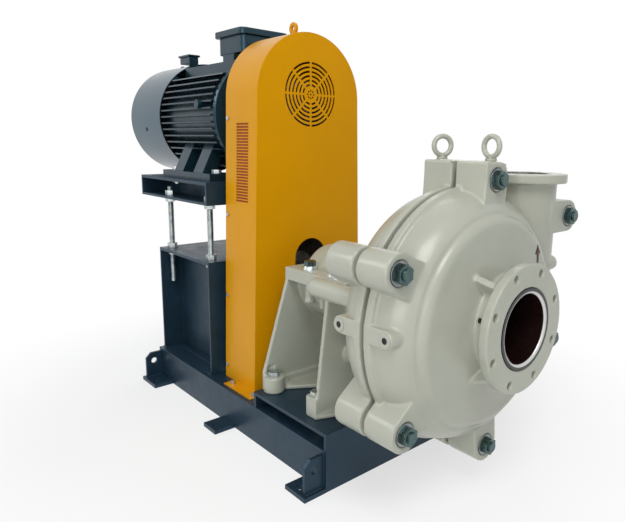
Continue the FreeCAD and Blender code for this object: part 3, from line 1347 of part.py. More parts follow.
def ear_holes(word, sign):
    """Blind tapped holes in the faces of the ears."""
    ear_x = S.split_x + sign * (S.split_gap + S.ear_reach)
    deep = S.ear_hole_deep
    return [cylinder("ear_hole_right_" + word, S.ear_hole, deep + 1, (ear_x, -S.rim_r - 1, S.ear_right_z), "Y"),
            cylinder("ear_hole_left_" + word, S.ear_hole, deep + 1, (ear_x, S.ear_left_y - deep, S.ear_left_z), "Y")]


def throat(name, radius, inset, low):
    """Upright discharge neck whose outer side slopes in to run into the casing rim."""
    x, y, top = S.split_x, S.outlet_y, S.outlet_top + 1
    pipe = cylinder(name + "_pipe", radius, S.outlet_top - low, (x, y, low))
    outer = y + S.outlet_neck - inset
    side = prism(name + "_side", "YZ", [
        (0, low - 1), (S.throat_y - inset, low - 1), (S.throat_y - inset, S.throat_z), (S.knee_y - inset, S.knee_z),
        (outer + 1, S.straight_z), (outer + 1, top), (0, top)], S.outlet_neck * 4, (x - S.outlet_neck * 2, 0, 0))
    return common(name, [pipe, side])


def outlet(word):
    """Discharge neck and flange."""
    return [
        throat("neck_" + word, S.outlet_neck, 0, S.throat_z - 60),
        cylinder("outlet_flange_" + word, S.outlet_r, S.outlet_thick,
                 (S.split_x, S.outlet_y, S.outlet_top - S.outlet_thick)),
    ]


def liner_room(word, grow):
    """Space that the lined wet end takes inside the casing."""
    edge = 14
    back, front, top = S.liner_back - grow, S.liner_front + grow, S.liner_r + grow
    inset = S.outlet_neck - S.pipe_bore - S.pipe_wall
    return [
        turned("liner_room_" + word, [
            (back, 0), (back, top - edge), (back + edge, top), (front - edge, top), (front, top - edge),
            (front, 0)], (0, 0, S.shaft_z)),
        throat("pipe_room_" + word, S.pipe_bore + S.pipe_wall + grow, inset - grow, S.throat_z - 40 - grow),
        cylinder("pipe_mouth_" + word, S.pipe_bore + S.pipe_wall + grow, S.outlet_thick,
                 (S.split_x, S.outlet_y, S.outlet_top - S.outlet_thick + 1)),
    ]


def half_space(word, sign):
    """Block that covers everything on one side of the split."""
    face = S.split_x + sign * S.split_gap
    far = face + sign * S.casing_room
    low, high = (face, far) if sign > 0 else (far, face)
    return box("half_space_" + word, (low, -S.casing_room, 0), (high, S.casing_room, S.casing_room * 2))


def bolt_holes(word, sign):
    """Holes for the casing bolts, the suction flange and the discharge flange."""
    face = S.split_x + sign * S.split_gap
    start = face - 1 if sign > 0 else face - S.barrel_long - 1
    holes = [cylinder("casing_hole_%s_%d" % (word, index), S.casing_bolt + S.hole_gap, S.barrel_long + 2,
                      (start, y, z), "X") for index, y, z in casing_bolt_places()]
    for index, (dx, dy, angle) in enumerate(around(1.0, 8, 22.5)):
        holes.append(cylinder("outlet_hole_%s_%d" % (word, index), S.outlet_hole, S.outlet_thick + 2,
                              (S.split_x + S.outlet_pcd / 2 * dx, S.outlet_y + S.outlet_pcd / 2 * dy,
                               S.outlet_top - S.outlet_thick - 1)))
    if sign > 0:
        holes += [cylinder("spot_face_%d" % index, S.spot_r, S.spot_deep + 1,
                           (face + S.barrel_long - S.spot_deep, y, z), "X")
                  for index, y, z in casing_bolt_places()]
    return holes


def build_casing():
    axis = (0, 0, S.rim_z)
    face = S.split_x + S.split_gap
    rim = S.rim_r
    front = turned("cover_wall", [
        (face, 0), (face, rim), (face + S.rim_wide, rim), (face + S.rim_wide + 6, rim - 12),
        Arc(S.shoulder_r, -1), (S.liner_front + 46, S.step_r + 14), (S.liner_front + 47, S.step_r + 7),
        Arc(10, 1), (S.liner_front + 54, S.step_r), Arc(30, -1), (S.liner_front + 67, S.step_r - 24),
        Arc(420, 1), (S.liner_front + 92, S.suction_neck + 14),
        (S.liner_front + 100, S.suction_neck), (S.liner_front + 100, 0)], axis)
    pieces = [front] + casing_side("cover", 1) + [common("cover_outlet", [half_space("cover", 1),
                                                                        fuse("cover_neck", outlet("cover"))])]
    neck = turned("suction_branch", [
        (S.liner_front + 60, 0), (S.liner_front + 60, S.suction_neck),
        (S.suction_x - S.suction_thick, S.suction_neck), (S.suction_x - S.suction_thick, S.suction_r),
        (S.suction_x, S.suction_r), (S.suction_x, 0)], (0, 0, S.shaft_z))
    pieces.append(neck)
    for index, angle in enumerate((50, 130, 230, 310)):
        rib = doc.addObject("Part::Wedge", "suction_rib_%d" % index)
        run = S.suction_x - S.suction_thick - S.liner_front - 50
        bind(rib, Xmin=-10, Xmax=10, Ymin=0, Ymax=run, Zmin=0, Zmax=72, X2min=-10, X2max=10, Z2min=0, Z2max=36)
        turn = Rotation(Vector(1, 0, 0), angle - 90).multiply(Rotation(Vector(0, 0, 1), -90))
        shift = Rotation(Vector(1, 0, 0), angle - 90).multVec(Vector(0, 0, 1))
        pieces.append(place(rib, (S.liner_front + 50, (S.suction_neck - 8) * shift.y,
                                  S.shaft_z + (S.suction_neck - 8) * shift.z), turn))
    holes = bolt_holes("cover", 1) + liner_room("cover", S.seat_gap) + ear_holes("cover", 1)
    holes.append(cylinder("bush_room", S.bush_tube + S.seat_gap, S.suction_x - S.liner_front + 2,
                          (S.liner_front - 1, 0, S.shaft_z), "X"))
    for index, (dy, dz, angle) in enumerate(around(1.0, 8, 22.5)):
        holes.append(cylinder("suction_hole_%d" % index, S.suction_hole, S.suction_thick + 2,
                              (S.suction_x - S.suction_thick - 1, S.suction_pcd / 2 * dy,
                               S.shaft_z + S.suction_pcd / 2 * dz), "X"))
    room = S.casing_room
    holes.append(box("cover_trim", (face - room, -room, 0), (face, room, room * 2)))
    node("cover_plate", cut("cover", fuse("cover_body", pieces), holes))

    back_face = S.split_x - S.split_gap
    wall = turned("frame_wall_form", [
        (back_face, 0), (back_face, rim), (back_face - S.rim_wide, rim), (back_face - S.rim_wide - 6, rim - 12),
        Arc(S.shoulder_r, 1), (S.liner_back - 54, S.step_r), Arc(420, -1), (S.hub_back + 46, S.frame_hub_r + 30), (S.hub_back + 22, S.frame_hub_r),
        (S.hub_back, S.frame_hub_r), (S.hub_back, 0)], axis)
    pieces = [wall] + casing_side("frame", -1) + [common("frame_outlet", [half_space("frame", -1),
                                                                        fuse("frame_neck", outlet("frame"))])]
    for word, y, z in tube_places():
        pieces.append(cylinder("stay_pad_" + word, S.tube_r, S.liner_back - S.tube_front - 40,
                               (S.tube_front, y, z), "X"))
    holes = bolt_holes("frame", -1) + liner_room("frame", S.seat_gap) + ear_holes("frame", -1)
    holes += [cylinder("stay_thread_" + word, S.tube_bolt + S.thread_gap, S.tube_bolt_in + 2,
                       (S.tube_front - 1, y, z), "X") for word, y, z in tube_places()]
    holes.append(cylinder("box_room", S.box_seat + S.seat_gap, S.liner_back - S.hub_back + 2,
                          (S.hub_back - 1, 0, S.shaft_z), "X"))
    holes.append(box("frame_trim", (back_face, -room, 0), (back_face + room, room, room * 2)))
    node("frame_plate", cut("frame", fuse("frame_form", pieces), holes))


def build_liners():
    axis = (0, 0, S.shaft_z)
    back, front, top = S.liner_back, S.liner_front, S.liner_r
    eye, wall = S.liner_eye, S.liner_wall
    edge = 14
    channel = turned("liner_channel", [
        (back, eye), (back, top - edge), (back + edge, top), (front - edge, top), (front, top - edge),
        (front, eye), (front - edge, eye), (front - edge, top - wall - edge), (front - edge * 2, top - wall),
        (back + edge * 2, top - wall), (back + edge, top - wall - edge), (back + edge, eye)], axis)
    inset = S.outlet_neck - S.pipe_bore
    pipe = throat("pipe", S.pipe_bore + S.pipe_wall, inset - S.pipe_wall, S.throat_z - 40)
    flow = fuse("liner_flow", [
        throat("flow", S.pipe_bore, inset, S.throat_z - 20),
        cylinder("flow_mouth", S.pipe_bore, 20, (S.split_x, S.outlet_y, S.outlet_top - 19))])
    swirl = ring("liner_swirl", 0, top - wall, back + edge * 2, front - back - edge * 4, axis)
    core = ring("liner_core", 0, eye, back - 30, front - back + 60, axis)
    shell = fuse("liner_shell", [channel, pipe])
    node("volute_liner", cut("liner", shell, [fuse("liner_void", [flow, swirl, core])]))

    disc = S.liner_eye - S.seat_gap
    tube = S.bush_tube
    node("throatbush", turned("bush", [
        (S.bush_face, S.bush_bore + 8), (S.bush_face, disc), (front, disc), (front, tube),
        (S.suction_x, tube), (S.suction_x, S.bush_bore), (S.bush_face + 60, S.bush_bore)], axis))
    node("frame_plate_liner", ring("back_liner", S.sleeve_r + 24, disc, back, S.back_face - back, axis))


def vane_shape(offset):
    """One backswept impeller vane as a padded crescent between two arcs."""
    inner, outer = (S.eye_r - 26).value, S.impeller_r.value
    sweep = math.radians(72)
    points = []
    steps = 8
    for side in (0, 1):
        line = []
        for index in range(steps + 1):
            share = index / steps
            radius = inner + (outer - inner) * share
            half = S.vane_thick.value / radius * side * (1 - 0.35 * share)
            angle = offset - sweep * share + half
            line.append(Vector(0, radius * math.cos(angle), radius * math.sin(angle)))
        points.append(line)
    curves = []
    for line in points:
        spline = Part.BSplineCurve()
        spline.interpolate(line)
        curves.append(spline.toShape())
    tip = Part.LineSegment(points[0][-1], points[1][-1]).toShape()
    nose = Part.LineSegment(points[1][0], points[0][0]).toShape()
    face = Part.Face(Part.Wire(Part.__sortEdges__([curves[0], tip, curves[1], nose])))
    width = (S.impeller_front - S.impeller_back - S.shroud * 2).value
    blade = face.extrude(Vector(width + 2, 0, 0))
    blade.translate(Vector((S.impeller_back + S.shroud).value - 1, 0, 0))
    return blade


def build_impeller():
    axis = (0, 0, S.shaft_z)
    back, front, skin = S.impeller_back, S.impeller_front, S.shroud
    disc = turned("impeller_back_shroud", [
        (S.sleeve_front, S.impeller_bore), (S.sleeve_front, S.sleeve_r + 4), (back, S.sleeve_r + 4),
        (back, S.impeller_r), (back + skin, S.impeller_r), (back + skin, 92), Arc(90, -1),
        (front - 20, 22), (front - 14, 0), (S.shaft_front, 0), (S.shaft_front, S.impeller_bore)], axis)
    rim = turned("impeller_front_shroud", [
        (front - skin, S.eye_r + 26), (front - skin, S.impeller_r), (front, S.impeller_r), (front, S.eye_r),
        (front - 6, S.eye_r)], axis)
    vanes = doc.addObject("Part::Feature", "impeller_vanes")
    vanes.Shape = Part.makeCompound([vane_shape(2 * math.pi * index / VANES) for index in range(VANES)])
    vanes.Placement = Placement(Vector(0, 0, S.shaft_z.value), Rotation())
    node("impeller", fuse("impeller_cast", [disc, rim, vanes]))


def build_seal():
    axis = (0, 0, S.shaft_z)
    bore, seat = S.box_bore, S.box_seat
    studs = [(0, -S.gland_stud_y), (0, S.gland_stud_y)]
    body = turned("box_shell", [
        (S.seal_back, bore), (S.seal_back, seat), (S.liner_back, seat), (S.liner_back, S.sleeve_r + 6),
        (S.liner_back - 12, S.sleeve_r + 6), (S.liner_back - 12, bore)], axis)
    node("stuffing_box", body)
    packings = []
    lantern_at = 1
    for index in range(4):
        start = S.packing_back + index * S.packing_wide
        piece = ring("packing_%d" % index, S.sleeve_r + S.run_gap * 2, bore - S.run_gap, start, S.packing_wide, axis)
        if index == lantern_at:
            node("lantern_ring", piece)
        else:
            packings.append(piece)
    node("packing_rings", group("packings", packings))

    plate = turned("gland_turned", [
        (S.gland_back, S.sleeve_r + 1), (S.gland_back, S.gland_r), (S.gland_back + S.gland_thick, S.gland_r),
        (S.gland_back + S.gland_thick, bore - 1), (S.packing_back, bore - 1),
        (S.packing_back, S.sleeve_r + 1)], axis)
    holes, stud_set, nut_set = [], [], []
    for index, (y, z) in enumerate(studs):
        place_x = (S.gland_back - 1, z, S.shaft_z + y)
        holes.append(cylinder("gland_hole_%d" % index, S.gland_stud + S.hole_gap, S.gland_thick + 2, place_x, "X"))
        stud_set.append(cylinder("gland_stud_%d" % index, S.gland_stud, S.seal_back - S.gland_back + 42,
                                 (S.gland_back - 42, z, S.shaft_z + y), "X"))
        nut_set.append(threaded("gland_nut_%d" % index, S.gland_stud + S.thread_gap, S.gland_stud * 3, 14,
                                (S.gland_back - 14, z, S.shaft_z + y), "X"))
    node("gland", cut("gland_cut", plate, holes))
    node("gland_studs", group("gland_stud_set", stud_set))
    node("gland_nuts", group("gland_nut_set", nut_set))


def build_casing_fasteners():
    bolts = []
    back = S.split_x - S.split_gap - S.barrel_long
    front = S.split_x + S.split_gap + S.barrel_long - S.spot_deep
    for index, y, height in casing_bolt_places():
        bolts.append(bolt("casing_bolt_%d" % index, S.casing_bolt, S.casing_nut, (back, y, height),
                          front - back + S.bolt_out, 19, "X", 1))
        washer = ring("casing_washer_%d" % index, S.casing_bolt + S.hole_gap, 28, front, 4, (0, y, height))
        bolts += [washer, threaded("casing_nut_%d" % index, S.casing_bolt + S.thread_gap, S.casing_nut, 24,
                                   (front + 4, y, height), "X")]
    node("casing_bolts", group("casing_bolt_set", bolts))

    index, y, z = next(casing_bolt_places())
    top = z + S.barrel_r
    eyes = []
    for word, sign, angle in (("frame", -1, 25), ("cover", 1, 50)):
        x = S.split_x + sign * (S.split_gap + S.barrel_long * 0.76)
        loop = doc.addObject("Part::Torus", "eye_ring_" + word)
        bind(loop, Radius1=S.eyebolt_r - S.eyebolt_wire, Radius2=S.eyebolt_wire)
        place(loop, (x, y, top + S.eyebolt_r + 4), AXES["X"].multiply(Rotation(Vector(1, 0, 0), angle)))
        eyes.append(fuse("eye_" + word, [loop, cylinder("eye_collar_" + word, 16, 7, (x, y, top)),
                                         cylinder("eye_neck_" + word, 9, 14, (x, y, top))]))
    node("casing_eyebolts", group("eyebolts", eyes))


# ---------------------------------------------------------------- build and write

build_base()
build_pedestal()
build_rods()
build_platform()
build_motor_frame()
build_motor_inside()
build_motor_boxes()
build_drive()
build_guard()
build_bearing_frame()
build_bearings()
build_shaft()
build_casing()
build_liners()
build_impeller()
build_seal()
build_casing_fasteners()
doc.recompute()

faults = [obj.Name for obj in doc.Objects if "Invalid" in obj.State or "Error" in obj.State]
for name, obj in nodes:
    if obj.Shape.isNull() or not obj.Shape.isValid() or not obj.Shape.Solids:
        faults.append(name)
if faults:
    raise RuntimeError("These did not build: " + ", ".join(faults))

os.makedirs("parts", exist_ok=True)
for name, obj in nodes:
    obj.Shape.exportStep("parts/%s.step" % name)
print("%d sub-parts, %d solids" % (len(nodes), sum(len(obj.Shape.Solids) for name, obj in nodes)))
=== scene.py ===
"""Horizontal slurry pump with its belt drive and motor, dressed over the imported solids."""

import json
import math

import bpy
from mathutils import Matrix, Vector


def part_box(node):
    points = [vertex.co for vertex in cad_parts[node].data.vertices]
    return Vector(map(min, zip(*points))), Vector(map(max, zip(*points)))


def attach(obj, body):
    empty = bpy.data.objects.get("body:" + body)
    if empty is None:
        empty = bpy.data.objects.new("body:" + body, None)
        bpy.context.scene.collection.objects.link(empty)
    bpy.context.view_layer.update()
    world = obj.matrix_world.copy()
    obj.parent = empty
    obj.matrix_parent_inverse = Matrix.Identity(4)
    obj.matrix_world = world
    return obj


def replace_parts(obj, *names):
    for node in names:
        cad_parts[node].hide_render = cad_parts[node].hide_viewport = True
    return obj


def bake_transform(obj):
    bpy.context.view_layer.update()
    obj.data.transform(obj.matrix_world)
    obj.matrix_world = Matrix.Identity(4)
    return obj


bl_info = {
    "name": "Slurry Pump Dressing",
    "version": (1, 0, 0),
    "blender": (4, 5, 0),
    "location": "3D View > Sidebar > Slurry Pump",
    "description": "Paints and details a horizontal slurry pump with its belt drive",
    "category": "Object",
}

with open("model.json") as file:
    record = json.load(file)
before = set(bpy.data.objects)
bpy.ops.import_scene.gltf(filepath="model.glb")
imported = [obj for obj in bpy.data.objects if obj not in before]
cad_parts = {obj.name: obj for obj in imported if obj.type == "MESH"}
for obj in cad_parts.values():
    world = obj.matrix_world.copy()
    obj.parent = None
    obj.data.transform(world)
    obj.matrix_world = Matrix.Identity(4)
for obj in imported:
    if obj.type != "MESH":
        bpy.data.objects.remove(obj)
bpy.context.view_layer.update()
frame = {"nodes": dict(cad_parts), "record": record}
BODY_OF = {
    node: body
    for body, nodes in frame["record"]["behaviour"]["bodies"].items()
    for node in nodes
}

TO_FRONT = (0.0, math.pi / 2, 0.0)
TO_BACK = (0.0, -math.pi / 2, 0.0)
TO_RIGHT = (math.pi / 2, 0.0, 0.0)
TO_LEFT = (-math.pi / 2, 0.0, 0.0)

# Sizes and places that the solids' boxes don't give, in metres.
CAST_CELL = 0.003
CAST_KEPT = 0.38  # the share of its faces that a casting's mesh keeps, not a length
BEAD_RADIUS = 0.0035
EAR_REACH = 0.080  # from the inner face of a casing half to its ears
EAR_HOLES = ((-0.3728, 0.570, TO_RIGHT), (0.3948, 0.668, TO_LEFT))
PLUG_REACH = 0.139  # from the shaft's axis to the skin of the suction neck
MOUTH_RADIUS = 0.096
STAND_WEB = 0.2102  # from the middle to the outer face of the stand's webs


# ---------------------------------------------------------------- settings


def paint_colour(label, about, colour):
    """A setting for the colour of a painted surface."""
    return bpy.props.FloatVectorProperty(
        name=label,
        description=about,
        subtype="COLOR",
        size=3,
        min=0.0,
        max=1.0,
        default=colour,
    )


class PaintSettings(bpy.types.PropertyGroup):
    """Colours of the painted pieces."""

    pump: paint_colour(
        "Pump Enamel", "Warm grey enamel of the pump castings", (0.375, 0.387, 0.323)
    )
    guard: paint_colour(
        "Guard Enamel", "Orange enamel of the belt guard", (0.60, 0.27, 0.0008)
    )
    base: paint_colour(
        "Base Enamel",
        "Slate enamel of the welded base and the motor stand",
        (0.011, 0.026, 0.041),
    )
    cowl: paint_colour(
        "Cowl Enamel", "Blue-grey enamel of the motor's fan cowl", (0.035, 0.062, 0.082)
    )
    motor: paint_colour(
        "Motor Enamel", "Dark enamel of the motor castings", (0.005, 0.017, 0.025)
    )


class StageSettings(bpy.types.PropertyGroup):
    """Camera and light."""

    eye: bpy.props.FloatVectorProperty(
        name="Camera Place",
        description="Where the camera stands",
        subtype="TRANSLATION",
        unit="LENGTH",
        size=3,
        default=(1.77495, -1.32076, 1.04267),
    )
    heading: bpy.props.FloatProperty(
        name="Heading",
        description="Turn of the camera about the vertical",
        subtype="ANGLE",
        default=math.radians(47.70),
    )
    dip: bpy.props.FloatProperty(
        name="Dip",
        description="How far the camera looks down from the level",
        subtype="ANGLE",
        default=math.radians(10.60),
    )
    tilt: bpy.props.FloatProperty(
        name="Tilt",
        description="Roll of the camera about its own line of sight",
        subtype="ANGLE",
        default=math.radians(0.915),
    )
    lens: bpy.props.FloatProperty(
        name="Lens",
        description="Focal length on a 36 mm wide sensor, in millimetres",
        default=32.911,
        min=10.0,
    )
    shift: bpy.props.FloatVectorProperty(
        name="Shift",
        description="How far the view slides sideways and upwards, as a share of its width",
        size=2,
        default=(-0.0657, -0.0185),
    )


# ---------------------------------------------------------------- materials


class Finish:
    """A procedural material, put together node by node."""

    def __init__(self, name):
        self.material = bpy.data.materials.new(name)
        self.material.use_nodes = True
        self.nodes = self.material.node_tree.nodes
        self.links = self.material.node_tree.links
        self.shader = self.nodes["Principled BSDF"]
        self.place = self.nodes.new("ShaderNodeTexCoord").outputs["Object"]

    def set(self, **sockets):
        """Even values, put straight on the shader."""
        for name, value in sockets.items():
            self.shader.inputs[name.replace("_", " ")].default_value = value
        return self

    def stretched(self, scale):
        """The object's own coordinates, stretched along an axis."""
        mapping = self.nodes.new("ShaderNodeMapping")
        mapping.inputs["Scale"].default_value = scale
        self.links.new(self.place, mapping.inputs["Vector"])
        return mapping.outputs["Vector"]

    def noise(self, scale, detail=3.0, rough=0.5, along=None):
        """Soft clouds, at so many to the metre."""
        node = self.nodes.new("ShaderNodeTexNoise")
        node.inputs["Scale"].default_value = scale
        node.inputs["Detail"].default_value = detail
        node.inputs["Roughness"].default_value = rough
        self.links.new(along or self.place, node.inputs["Vector"])
        return node.outputs["Fac"]

    def voronoi(self, scale):
        """Sharp-edged grains, at so many to the metre."""
        node = self.nodes.new("ShaderNodeTexVoronoi")
        node.inputs["Scale"].default_value = scale
        self.links.new(self.place, node.inputs["Vector"])
        return node.outputs["Distance"]

    def shades(self, source, *stops):
        """The base colour, from a source value through the given stops."""
        ramp = self.nodes.new("ShaderNodeValToRGB")
        points = ramp.color_ramp.elements
        while len(points) < len(stops):
            points.new(0.5)
        for point, (place, colour) in zip(points, stops):
            point.position = place
            point.color = (*colour, 1.0)
        self.links.new(source, ramp.inputs["Fac"])
        self.links.new(ramp.outputs["Color"], self.shader.inputs["Base Color"])
        return self

    def reach(self, vector):
        """How far a point lies from the origin."""
        node = self.nodes.new("ShaderNodeVectorMath")
        node.operation = "LENGTH"
        self.links.new(vector, node.inputs[0])
        return node.outputs["Value"]

    def ranged(self, source, low, high, start, stop, kind="LINEAR"):
        """A source value, moved from its own range to another."""
        node = self.nodes.new("ShaderNodeMapRange")
        node.interpolation_type = kind
        node.inputs["From Min"].default_value = start
        node.inputs["From Max"].default_value = stop
        node.inputs["To Min"].default_value = low
        node.inputs["To Max"].default_value = high
        self.links.new(source, node.inputs["Value"])
        return node.outputs["Result"]

    def spread(self, socket, source, low, high, start=0.3, stop=0.7):
        """A shader value that wanders between two limits."""
        value = self.ranged(source, low, high, start, stop)
        self.links.new(value, self.shader.inputs[socket])
        return self

    def relief(self, *layers, edge=0.0):
        """Bump layers, each a source, its height in metres and its strength."""
        normal = None
        if edge:
            rounder = self.nodes.new("ShaderNodeBevel")
            rounder.samples = 4
            rounder.inputs["Radius"].default_value = edge
            normal = rounder.outputs["Normal"]
        for source, height, strength in layers:
            bump = self.nodes.new("ShaderNodeBump")
            bump.inputs["Distance"].default_value = height
            bump.inputs["Strength"].default_value = strength
            self.links.new(source, bump.inputs["Height"])
            if normal:
                self.links.new(normal, bump.inputs["Normal"])
            normal = bump.outputs["Normal"]
        if normal:
            self.links.new(normal, self.shader.inputs["Normal"])
        return self


def tinted(colour, factor):
    """A colour made darker or lighter."""
    return tuple(min(1.0, channel * factor) for channel in colour)


def sheen_of(colour, share=0.75):
    """The tint of a coloured enamel's reflections, seen square on."""
    top = max(colour)
    return (*(1.0 - share + share * channel / top for channel in colour), 1.0)


def cast_enamel(name, colour, gloss=0.3, edge=0.003, coat=0.3):
    """Enamel brushed over a sand casting: soft waves, fine orange peel."""
    made = Finish(name)
    made.shades(
        made.noise(3.2, 5.0, 0.6),
        (0.30, tinted(colour, 0.90)),
        (0.55, colour),
        (0.75, tinted(colour, 1.05)),
    )
    made.spread("Roughness", made.noise(11.0, 4.0), gloss, gloss + 0.14)
    made.relief(
        (made.noise(13.0, 3.0), 0.006, 0.14),
        (made.noise(150.0, 3.0), 0.0012, 0.18),
        edge=edge,
    )
    return made.set(
        Coat_Weight=coat, Coat_Roughness=0.14, Specular_Tint=sheen_of(colour)
    ).material


def sheet_enamel(name, colour, gloss=0.28, edge=0.0012, shine=0.5, share=0.98):
    """Sprayed enamel on sheet or plate: flat, with a faint orange peel."""
    made = Finish(name)
    made.shades(
        made.noise(2.4, 4.0, 0.6),
        (0.30, tinted(colour, 0.94)),
        (0.70, tinted(colour, 1.04)),
    )
    made.spread("Roughness", made.noise(7.0, 5.0), gloss, gloss + 0.08)
    made.relief(
        (made.noise(3.0, 2.0), 0.003, 0.06),
        (made.noise(420.0, 2.0), 0.0004, 0.10),
        edge=edge,
    )
    return made.set(
        Specular_IOR_Level=shine, Specular_Tint=sheen_of(colour, share)
    ).material


def plate_enamel(name, colour, dust, gloss=0.28, edge=0.0015):
    """Thick enamel on rolled plate, scuffed and a little dusty."""
    made = Finish(name)
    made.shades(
        made.noise(6.5, 8.0, 0.68),
        (0.30, tinted(colour, 0.75)),
        (0.52, colour),
        (0.66, tinted(colour, 1.25)),
        (0.80, dust),
    )
    made.spread("Roughness", made.noise(14.0, 6.0, 0.7), gloss, gloss + 0.2)
    made.relief(
        (made.noise(9.0, 3.0), 0.003, 0.10),
        (made.noise(240.0, 3.0), 0.0006, 0.2),
        edge=edge,
    )
    return made.set(Specular_IOR_Level=0.45, Specular_Tint=sheen_of(colour)).material


def plated_steel(name, colour, gloss=0.26, edge=0.0008):
    """Zinc plate: bright, faintly blue and yellow in patches."""
    made = Finish(name)
    made.shades(
        made.noise(38.0, 3.0, 0.6),
        (0.32, tinted(colour, 0.72)),
        (0.50, colour),
        (0.68, (colour[0] * 1.12, colour[1] * 1.05, colour[2] * 0.88)),
    )
    made.spread("Roughness", made.noise(90.0, 4.0), gloss, gloss + 0.18)
    made.relief((made.noise(700.0, 2.0), 0.0003, 0.25), edge=edge)
    return made.set(Metallic=1.0).material


def turned_steel(name, colour, gloss=0.22):
    """Machined steel with fine tool marks round the shaft axis."""
    made = Finish(name)
    marks = made.noise(60.0, 4.0, 0.6, made.stretched((14.0, 1.0, 1.0)))
    made.shades(marks, (0.35, tinted(colour, 0.8)), (0.65, tinted(colour, 1.1)))
    made.spread("Roughness", marks, gloss, gloss + 0.16)
    made.relief((marks, 0.0004, 0.25), edge=0.0008)
    return made.set(Metallic=1.0).material


def foundry_iron(name, colour, dark, metal=0.85, gloss=0.45):
    """Bare iron with a cast skin."""
    made = Finish(name)
    made.shades(
        made.noise(26.0, 8.0, 0.7),
        (0.30, dark),
        (0.56, colour),
        (0.78, tinted(colour, 1.35)),
    )
    made.spread("Roughness", made.noise(45.0, 5.0, 0.7), gloss, gloss + 0.3)
    made.relief(
        (made.noise(70.0, 6.0, 0.65), 0.0016, 0.35),
        (made.voronoi(320.0), 0.0004, 0.2),
        edge=0.0015,
    )
    return made.set(Metallic=metal).material


def moulded(name, colour, gloss=0.55):
    """Rubber, plastic or packing: matt, finely grained."""
    made = Finish(name)
    made.shades(
        made.noise(40.0, 5.0, 0.6),
        (0.30, tinted(colour, 0.7)),
        (0.70, tinted(colour, 1.25)),
    )
    made.spread("Roughness", made.noise(30.0, 4.0), gloss, gloss + 0.25)
    made.relief((made.noise(500.0, 3.0), 0.0004, 0.4), edge=0.0008)
    return made.material


def mouth_iron(name, bore_painted_shade):
    """The suction liner: dark skin, a bright turned chamfer and a black-red bore, darkened to
    near-black as painted shade of its deep inside.
    """
    made = Finish(name)
    low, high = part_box("throatbush")
    square_on = made.nodes.new("ShaderNodeVectorMath")
    square_on.operation = "MULTIPLY_ADD"
    square_on.inputs[1].default_value = (0.0, 1.0, 1.0)
    square_on.inputs[2].default_value = (0.0, 0.0, -(low[2] + high[2]) / 2)
    made.links.new(made.place, square_on.inputs[0])
    inner, outer = MOUTH_RADIUS - 0.002, MOUTH_RADIUS + 0.018
    shade_end, chamfer_start = 0.11, 0.14
    ring = made.ranged(made.reach(square_on.outputs["Vector"]), 0.0, 1.0, inner, outer)
    # Painted shade: inside the ring the bore takes its near-black colour, which stands in for the
    # shade deep in the mouth.
    made.shades(
        ring,
        (shade_end, bore_painted_shade),
        (chamfer_start, (0.62, 0.62, 0.60)),
        (0.44, (0.55, 0.55, 0.54)),
        (0.50, (0.085, 0.085, 0.085)),
        (0.90, (0.05, 0.05, 0.05)),
    )
    made.spread("Metallic", ring, 0.0, 1.0, shade_end, chamfer_start)
    made.spread("Roughness", made.noise(60.0, 4.0), 0.22, 0.42)
    made.relief((made.noise(90.0, 5.0), 0.0008, 0.3), edge=0.0008)
    return made.set(Specular_IOR_Level=0.25).material


# Each finish: its maker, its colour or the paint setting that holds it, and other values.
FINISHES = {
    "pump_enamel": (cast_enamel, "pump", {}),
    "motor_enamel": (cast_enamel, "motor", {"gloss": 0.22, "edge": 0.0015, "coat": 0.15}),
    "guard_enamel": (sheet_enamel, "guard", {}),
    "cowl_enamel": (sheet_enamel, "cowl", {"gloss": 0.14, "shine": 0.7, "share": 0.9}),
    "arrow_paint": (sheet_enamel, (0.02, 0.006, 0.006), {}),
    "base_enamel": (plate_enamel, "base", {"dust": (0.05, 0.058, 0.062)}),
    "zinc_plate": (plated_steel, (0.50, 0.55, 0.57), {}),
    "blue_zinc": (plated_steel, (0.085, 0.135, 0.14), {"gloss": 0.18}),
    "dull_zinc": (plated_steel, (0.27, 0.30, 0.31), {}),
    "turned_steel": (turned_steel, (0.58, 0.57, 0.55), {}),
    "grey_iron": (foundry_iron, (0.16, 0.155, 0.15), {"dark": (0.07, 0.066, 0.062)}),
    "chrome_iron": (
        foundry_iron,
        (0.30, 0.29, 0.28),
        {"dark": (0.12, 0.10, 0.09), "metal": 0.9, "gloss": 0.32},
    ),
    # The liner's bore colour, near-black as painted shade of its inside.
    "mouth_iron": (mouth_iron, (0.010, 0.0035, 0.0035), {}),
    # Near-black of the discs in the ear holes and of the neck plug, painted shade of their holes.
    "soot": (moulded, (0.004, 0.004, 0.004), {"gloss": 0.7}),
    # Dark red of the sheets behind the guard's slits, painted shade of the guard's orange inside.
    "screen_primer": (moulded, (0.34, 0.06, 0.02), {"gloss": 0.7}),
    "belt_rubber": (moulded, (0.012, 0.012, 0.012), {}),
    "gland_packing": (moulded, (0.22, 0.20, 0.15), {"gloss": 0.75}),
    "fan_plastic": (moulded, (0.02, 0.022, 0.024), {"gloss": 0.4}),
}
MATERIALS = {}


def finish_of(name):
    """The material of that finish, made when first asked for."""
    if name not in MATERIALS:
        maker, colour, values = FINISHES[name]
        if isinstance(colour, str):
            colour = tuple(getattr(bpy.context.scene.slurry_pump_paint, colour))
        MATERIALS[name] = maker(name, colour, **values)
    return MATERIALS[name]


SLOT_FINISH = {
    "base_paint": "base_enamel",
    "pump_paint": "pump_enamel",
    "guard_paint": "guard_enamel",
    "motor_paint": "motor_enamel",
    "motor_cowl_paint": "cowl_enamel",
    "zinc_steel": "zinc_plate",
    "shaft_steel": "turned_steel",
    "cast_iron": "grey_iron",
    "wear_iron": "chrome_iron",
    "belt_rubber": "belt_rubber",
    "packing": "gland_packing",
    "fan_plastic": "fan_plastic",
}


